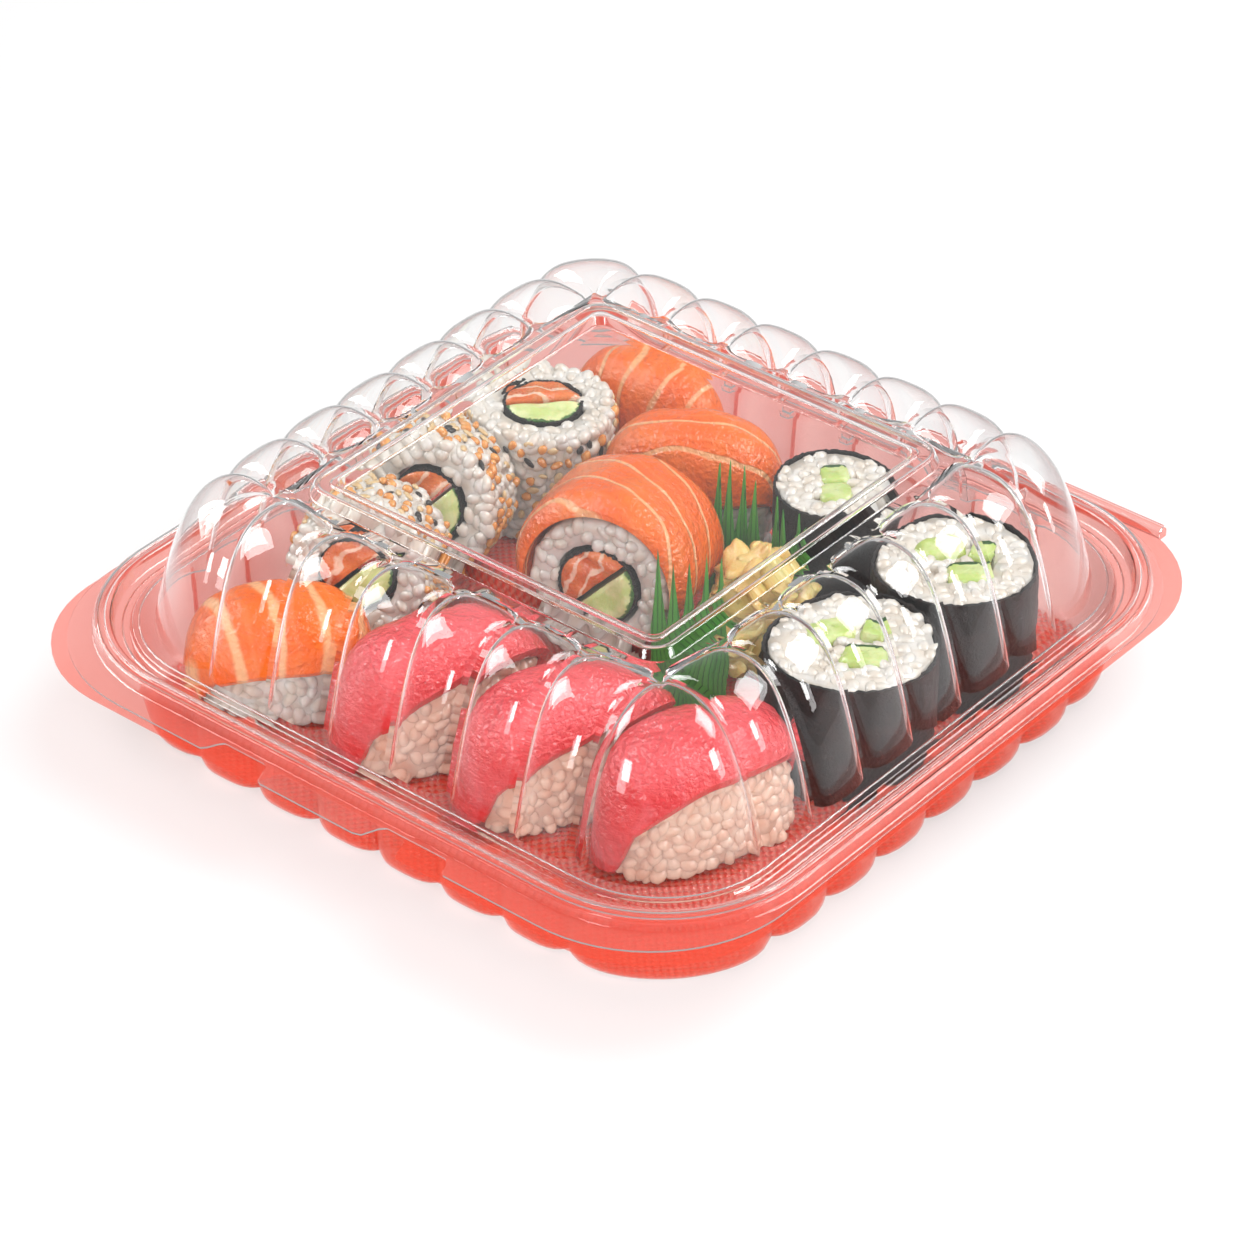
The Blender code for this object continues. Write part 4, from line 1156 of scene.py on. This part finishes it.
nori = Finish("nori")
nori_fibre = nori.noise(0.0012, 5.0, distortion=1.5)
nori_patch = nori.noise(0.006, 3.0)
nori_glint = nori.node("ShaderNodeTexVoronoi", {}, {"Vector": nori.place, "Scale": 1 / NORI_GLINT})
nori_colour = nori.blend((nori_patch * 0.5 + nori_fibre * 0.5).over(0.42, 0.66), NORI_BLACK, NORI_BROWN)
nori_black = nori.coat(nori_colour, 0.34 + nori_fibre * 0.25,
                       nori.bump(nori_fibre + nori_glint * 0.4, 0.00025), Specular_IOR_Level=0.3)
for phase, name in enumerate([*UPRIGHT_ROLLS, *LYING_ROLLS]):
    at, radius, length = roll_place(name)
    outer = radius if name.startswith("cucumber") else RING_SHARE * radius - LAYER_GAP
    sheet = nori_sheet(outer, NORI_THICK, length, phase, at)
    set_out(name + "_nori_sheet", sheet, nori_black, "tray", [name + "_nori"], sharp=45)


# Cucumber. Each of the three cucumber rolls holds sticks cut lengthways, pale and wet inside, with a strip
# of dark skin left on one side of some; rice fills the room between them.
CUCUMBER_SHARE = 0.45
CUCUMBER_FLESH = (0.50, 0.64, 0.17)
CUCUMBER_HEART = (0.66, 0.74, 0.34)
CUCUMBER_SKIN = (0.030, 0.10, 0.022)
STICKS = {             # right and up of the roll's middle as seen, width, depth, turn, whether it has skin
    "cucumber_roll_small": (
        (0.0002, 0.0042, 0.0078, 0.0078, 6, True), (0.0004, -0.0040, 0.0084, 0.0076, 2, False)),
    "cucumber_roll_back": (
        (-0.0030, 0.0054, 0.0115, 0.0080, 12, False), (0.0072, 0.0034, 0.0058, 0.0084, -24, True),
        (0.0032, -0.0058, 0.0108, 0.0078, 5, True)),
    "cucumber_roll_front": (
        (-0.0046, 0.0050, 0.0112, 0.0084, 16, False), (0.0060, 0.0048, 0.0066, 0.0080, -15, True),
        (0.0032, -0.0058, 0.0116, 0.0078, -8, True)),
}


def rounded_stick(wide, deep, corner=0.28, steps=4):
    """Outline of a stick with rounded edges, as (x, y)."""
    points = []
    r = corner * min(wide, deep)
    for sx, sy, start in ((1, 1, 0), (-1, 1, 90), (-1, -1, 180), (1, -1, 270)):
        for i in range(steps + 1):
            a = math.radians(start + 90 * i / steps)
            points.append((sx * (wide / 2 - r) + r * math.cos(a), sy * (deep / 2 - r) + r * math.sin(a)))
    return points


def marked(mesh, name, marks):
    """Mesh that carries a number at each of its points."""
    mesh.attributes.new(name, "FLOAT", "POINT").data.foreach_set("value", marks)
    return mesh


def stick_mesh(outline, skin_side, length, at, seed, proud=0.0004):
    """Stick along the roll: both ends domed a little, with a reading that is 1 on its skin side."""
    rng = np.random.default_rng(seed)
    count = len(outline)
    cx, cy = (sum(p[k] for p in outline) / count for k in (0, 1))
    half = max(abs(p[1] - cy) for p in outline)
    vertices, marks = [], []
    rows = [(-proud, 0.0), (-proud, 0.35), (-proud, 0.62), (-proud * 0.8, 0.85), (0.0004, 1.0),
            (length * 0.5, 1.0), (length - 0.0004, 1.0), (length, 0.85), (length, 0.45), (length, 0.0)]
    for y, size in rows:
        for x, z in outline:
            px, pz = cx + (x - cx) * size, cy + (z - cy) * size
            dent = rng.uniform(-0.00012, 0.00012)
            vertices.append(tuple(at @ Vector((px, y + dent, pz))))
            marks.append(1.0 if skin_side and (z - cy) * size > 0.55 * half else 0.0)
    return outward(marked(mesh_of(vertices, loop_faces(len(rows), count)), "peel", marks), weld=True)


def green_finish(name, flesh, heart, peel):
    """Wet pale flesh with a dark rind where the mesh says so."""
    finish = Finish(name)
    cloud = finish.noise(0.004, 3.0)
    grain = finish.noise(0.0009, 3.0)
    inside = finish.blend(cloud.over(0.35, 0.65), flesh, heart)
    mark = (finish.reading("peel") + (grain - 0.5) * 0.5).over(0.45, 0.62)
    return finish.coat(finish.blend(mark, inside, peel), 0.26 + grain * 0.14, finish.bump(grain, 0.00018), 0.25)


cucumber_green = green_finish("cucumber", CUCUMBER_FLESH, CUCUMBER_HEART, CUCUMBER_SKIN)
for seed, (name, sticks) in enumerate(STICKS.items()):
    at, radius, length = roll_place(name)
    made, clear_of = [], []
    for number, (right, up, wide, deep, turn, peeled) in enumerate(sticks):
        spin = Matrix.Rotation(math.radians(turn) + CAMERA_AZIMUTH, 4, "Z")
        middle = Matrix.Rotation(CAMERA_AZIMUTH, 4, "Z") @ Vector((right, up, 0))
        top = at.translation + middle
        stand = Matrix.Translation(top) @ spin @ Matrix.Rotation(-math.pi / 2, 4, "X")
        outline = [(x, y if peeled else -y) for x, y in rounded_stick(wide, deep)]
        made.append(stick_mesh(outline, peeled, length, stand, seed * 7 + number, 0.0009))
        clear_of.append((stand.inverted(), wide / 2, deep / 2))
    set_out(name + "_cucumber_sticks", joined(made), cucumber_green, "tray",
            [name + "_cucumber"], sharp=50)
    rng = np.random.default_rng(700 + seed)
    plug = []
    core = CUCUMBER_SHARE * radius
    for _ in range(400):
        spread, around = core * math.sqrt(rng.random()), rng.uniform(0, math.tau)
        spot = Vector((spread * math.cos(around), spread * math.sin(around), 0))
        if all((spot - p).length > 0.0024 for p, _ in plug):
            plug.append((spot, Vector((0, 0, 1))))
    plug = [(at.translation + spot, up) for spot, up in plug]
    plug = [(spot, up) for spot, up in plug
            if all(abs((inverse @ spot).x) > wide or abs((inverse @ spot).z) > deep
                   for inverse, wide, deep in clear_of)]
    vertices, faces = scattered(plug, GRAIN_POINTS, GRAIN_FACES, rng, 0.0012, tilt=14)
    grains = mesh_of(vertices.tolist(), faces.tolist())
    bed_angles = [math.tau * i / 32 for i in range(32)]
    bed = stick_mesh([(0.98 * core * math.cos(a), 0.98 * core * math.sin(a)) for a in bed_angles], False,
                     length - 0.0016, at @ Matrix.Translation((0, 0.0015, 0)), 900 + seed, 0.0)
    set_out(name + "_middle_rice", joined([bed, grains]), rice_white, "tray", sharp=60)


# Fillings. Raw salmon and a wedge of avocado lie side by side inside the inner nori of the four filled
# rolls; the salmon is cut in rough blocks with white fat between its flakes.
FILLING_SPLIT = 135
SALMON_FLESH = (0.82, 0.22, 0.050)
SALMON_DEEP = (0.72, 0.13, 0.020)
SALMON_FAT = (0.93, 0.60, 0.44)
AVOCADO_FLESH = (0.60, 0.72, 0.25)
AVOCADO_HEART = (0.80, 0.82, 0.42)
AVOCADO_RIM = (0.055, 0.16, 0.030)


def filling(core, middle, length, at, seed, rings=9, steps=40):
    """Part of a round stick cut off by a straight line, lumpy at its faces; peel is 1 at its round rim."""
    rng = np.random.default_rng(seed)
    waves = rng.normal(0, 420, (5, 2))
    shifts = rng.uniform(0, math.tau, 5)
    split, spread = math.radians(middle), math.radians(86)

    def dent(x, z):
        return 0.0005 * sum(math.sin(w[0] * x + w[1] * z + s) for w, s in zip(waves, shifts)) / 2

    outline = [(core * math.cos(split + spread * (2 * i / steps - 1)),
                core * math.sin(split + spread * (2 * i / steps - 1))) for i in range(steps + 1)]
    outline += [tuple(np.array(outline[-1]) * (1 - t) + np.array(outline[0]) * t)
                for t in (i / 20 for i in range(1, 20))]
    count = len(outline)
    cx, cz = 0.45 * core * math.cos(split), 0.45 * core * math.sin(split)
    rows = [(0, k / rings) for k in range(1, rings + 1)] + [(length * f, 1.0) for f in (0.03, 0.5, 0.97)]
    rows += [(length, k / rings) for k in range(rings, 0, -1)]
    vertices, marks = [], []
    for y, size in rows:
        ease = max(0.0, min(1.0, (1 - size) * 4))
        for x, z in outline:
            px, pz = cx + (x - cx) * size, cz + (z - cz) * size
            end = y in (0, length)
            lift = (-0.0007 * ease + dent(px, pz)) * (1 if y == 0 else -1) if end else 0.0
            vertices.append(tuple(at @ Vector((px, y + lift, pz))))
            marks.append(max(0.0, math.hypot(px, pz) / core - 0.76) * 3.2)
    return marked(solid(bedded(vertices), len(rows)), "peel", marks)


def cut_salmon(name, across, pitch, seed):
    """Cut face of raw salmon: wavy white fat between orange flakes."""
    finish = Finish(name)
    wander = finish.noise(0.009)
    grain = finish.noise(0.0008, 3.0)
    phase = finish.along((seed * 0.01, 0, 0), across) + wander * 0.011
    band = (phase * (math.tau / pitch)).sine()
    fat = (band + (grain - 0.5) * 0.5).over(0.50, 0.95)
    flesh = finish.blend(finish.noise(0.005).over(0.3, 0.7), SALMON_DEEP, SALMON_FLESH)
    return finish.coat(finish.blend(fat, flesh, SALMON_FAT), 0.20 + grain * 0.16,
                       finish.bump(band * 0.5 + grain, 0.0003), 0.25)


avocado_green = green_finish("avocado", AVOCADO_FLESH, AVOCADO_HEART, AVOCADO_RIM)
for seed, name in enumerate(("uramaki_back", "uramaki_middle", "uramaki_left", "salmon_roll")):
    at, radius, length = roll_place(name)
    core = (RING_SHARE * radius - 2 * LAYER_GAP - NORI_THICK) * (1 - 2 * ROLL_WOBBLE) + 0.0007
    lean = math.radians(FILLING_SPLIT + 8 * seed - 6)
    across = at.to_3x3() @ Vector((math.cos(lean), 0, math.sin(lean)))
    salmon_cut = cut_salmon(name + "_cut_salmon", tuple(across), 0.0052, seed)
    set_out(name + "_salmon_block", filling(core, FILLING_SPLIT, length, at, 60 + seed), salmon_cut,
            "tray", [name + "_salmon"], sharp=50)
    set_out(name + "_avocado_wedge", filling(core, FILLING_SPLIT - 180, length, at, 80 + seed),
            avocado_green, "tray", [name + "_avocado"], sharp=50)


# Leaves. Three strips of stiff green film, cut into points like blades of grass, stand on edge between the
# pieces; dark lines are printed down each blade.
LEAVES = {             # start, end, height, blades, lean
    "leaf_back": ((-0.0070, 0.0415), (0.0060, 0.0455), 0.047, 4, 0.0010),
    "leaf_front": ((0.0105, -0.0030), (0.0250, 0.0090), 0.049, 5, 0.0030),
    "leaf_right": ((0.0090, 0.0452), (0.0240, 0.0446), 0.037, 4, 0.0),
}
LEAF_THICK = 0.0005
LEAF_WAVE = 0.0007
LEAF_SOLID_PART = 0.45
LEAF_GREEN = (0.055, 0.30, 0.040)
LEAF_PALE = (0.10, 0.42, 0.06)
LEAF_DARK = (0.012, 0.085, 0.014)


def leaf_mesh(name, start, end, height, blades, lean, columns=12, rows=16):
    start, end = Vector(start), Vector(end)
    run = end - start
    across = Vector((-run.y, run.x)).normalized()
    rng = random.Random(name)
    tips = [((i + rng.uniform(0.35, 0.65)) / blades, height * rng.uniform(0.82, 1.0)) for i in range(blades)]
    shoulder = height * LEAF_SOLID_PART
    vertices, marks, faces = [], [], []
    for blade, (tip, tall) in enumerate(tips):
        first = len(vertices)
        for column in range(columns + 1):
            share = (blade + column / columns) / blades
            reach = (share - blade / blades) / (tip - blade / blades) if share < tip else \
                ((blade + 1) / blades - share) / ((blade + 1) / blades - tip)
            top = shoulder + (tall - shoulder) * max(0.0, min(1.0, reach)) ** 1.25
            for row in range(rows + 1):
                z = top * row / rows
                ride = share
                if z > shoulder:
                    ride = share + (tip - share) * 0.25 * (z - shoulder) / (tall - shoulder)
                sway = LEAF_WAVE * math.sin(ride * blades * math.pi) + lean * (z / height) ** 2
                at = start + run * ride + across * sway
                vertices.append((at.x, at.y, FOOD_FLOOR + z))
                marks.append(column / columns)
        for column in range(columns):
            for row in range(rows):
                a = first + column * (rows + 1) + row
                faces.append((a, a + rows + 1, a + rows + 2, a + 1))
    mesh = marked(mesh_of(vertices, faces), "rib", marks)
    bm = bmesh.new()
    bm.from_mesh(mesh)
    bmesh.ops.remove_doubles(bm, verts=bm.verts, dist=1e-6)
    bm.to_mesh(mesh)
    bm.free()
    return thickened(mesh, LEAF_THICK, 0.0)


leaf = Finish("leaf_film")
leaf_line = (leaf.reading("rib") * math.tau * 3.0).sine().over(0.75, 1.0)
leaf_cloud = leaf.noise(0.006)
leaf_colour = leaf.blend(leaf_line * 0.75, leaf.blend(leaf_cloud, LEAF_GREEN, LEAF_PALE), LEAF_DARK)
leaf_green = leaf.coat(leaf_colour, 0.30 + leaf_cloud * 0.12, leaf.bump(leaf_line, 0.0002))
for name, row in LEAVES.items():
    set_out(name + "_film", leaf_mesh(name, *row), leaf_green, "tray", [name], sharp=40)


# Ginger. A heap of thin pickled slices, pale yellow and wet, folded over each other with ruffled edges.
GINGER_CORE_SINK = 0.0016
SLICE_SPACING = 0.0042
SLICE_SIZE = (0.0042, 0.0060)
SLICE_SINK = 0.0010
SLICE_LEAN = 20
GINGER_PALE = (0.88, 0.66, 0.25)
GINGER_SHADE = (0.78, 0.50, 0.15)


def petal_form(seed, rings=5, steps=22):
    """A folded slice: a thin disc, cupped, with a wavy rim."""
    rng = np.random.default_rng(seed)
    shift = rng.uniform(0, math.tau, 3)
    top, low = [], []
    for ring_index in range(rings + 1):
        r = ring_index / rings
        for i in range(steps):
            a = math.tau * i / steps
            ruffle = 0.13 * r ** 3 * math.sin(4 * a + shift[0]) + 0.05 * r ** 3 * math.sin(7 * a + shift[1])
            x, y = r * math.cos(a), 0.72 * r * math.sin(a)
            z = 0.40 * x * x - 0.18 * y * y + ruffle
            half = 0.34 * math.sqrt(max(0.0, 1 - r ** 3)) + 0.01
            top.append((x, y, z + half))
            low.append((x, y, z - half))
    upper = np.array(loop_faces(rings + 1, steps))
    rim = [(a, b, len(top) + b, len(top) + a) for a, b, _, _ in upper[-steps:] + steps]
    return np.array(top + low), np.concatenate([upper, upper[:, ::-1] + len(top), rim])


ginger = Finish("pickled_ginger")
ginger_cloud = ginger.noise(0.004)
ginger_fibre = ginger.noise(0.0009, 4.0, distortion=1.0)
ginger_pale = ginger.coat(ginger.blend(ginger_cloud.over(0.3, 0.65), GINGER_SHADE, GINGER_PALE),
                          0.20 + ginger_fibre * 0.15, ginger.bump(ginger_fibre, 0.0002), 0.3)
rng = np.random.default_rng(77)
petals = [sunk_copy("ginger", GINGER_CORE_SINK)]
for number, (spot, normal) in enumerate(points_on("ginger", SLICE_SPACING, 71)):
    if spot.z < 0.002:
        continue
    form, faces = petal_form(number)
    size = rng.uniform(*SLICE_SIZE)
    side, axes = facing(normal, rng.uniform(0, math.tau))
    lean = Matrix.Rotation(math.radians(rng.uniform(-SLICE_LEAN, SLICE_LEAN)), 3, side)
    petal = laid(form * size, lean @ axes, spot - normal * SLICE_SINK)
    petals.append(outward(mesh_of(petal.tolist(), faces.tolist())))
set_out("ginger_slices", joined(petals), ginger_pale, "tray", ["ginger"], sharp=60)
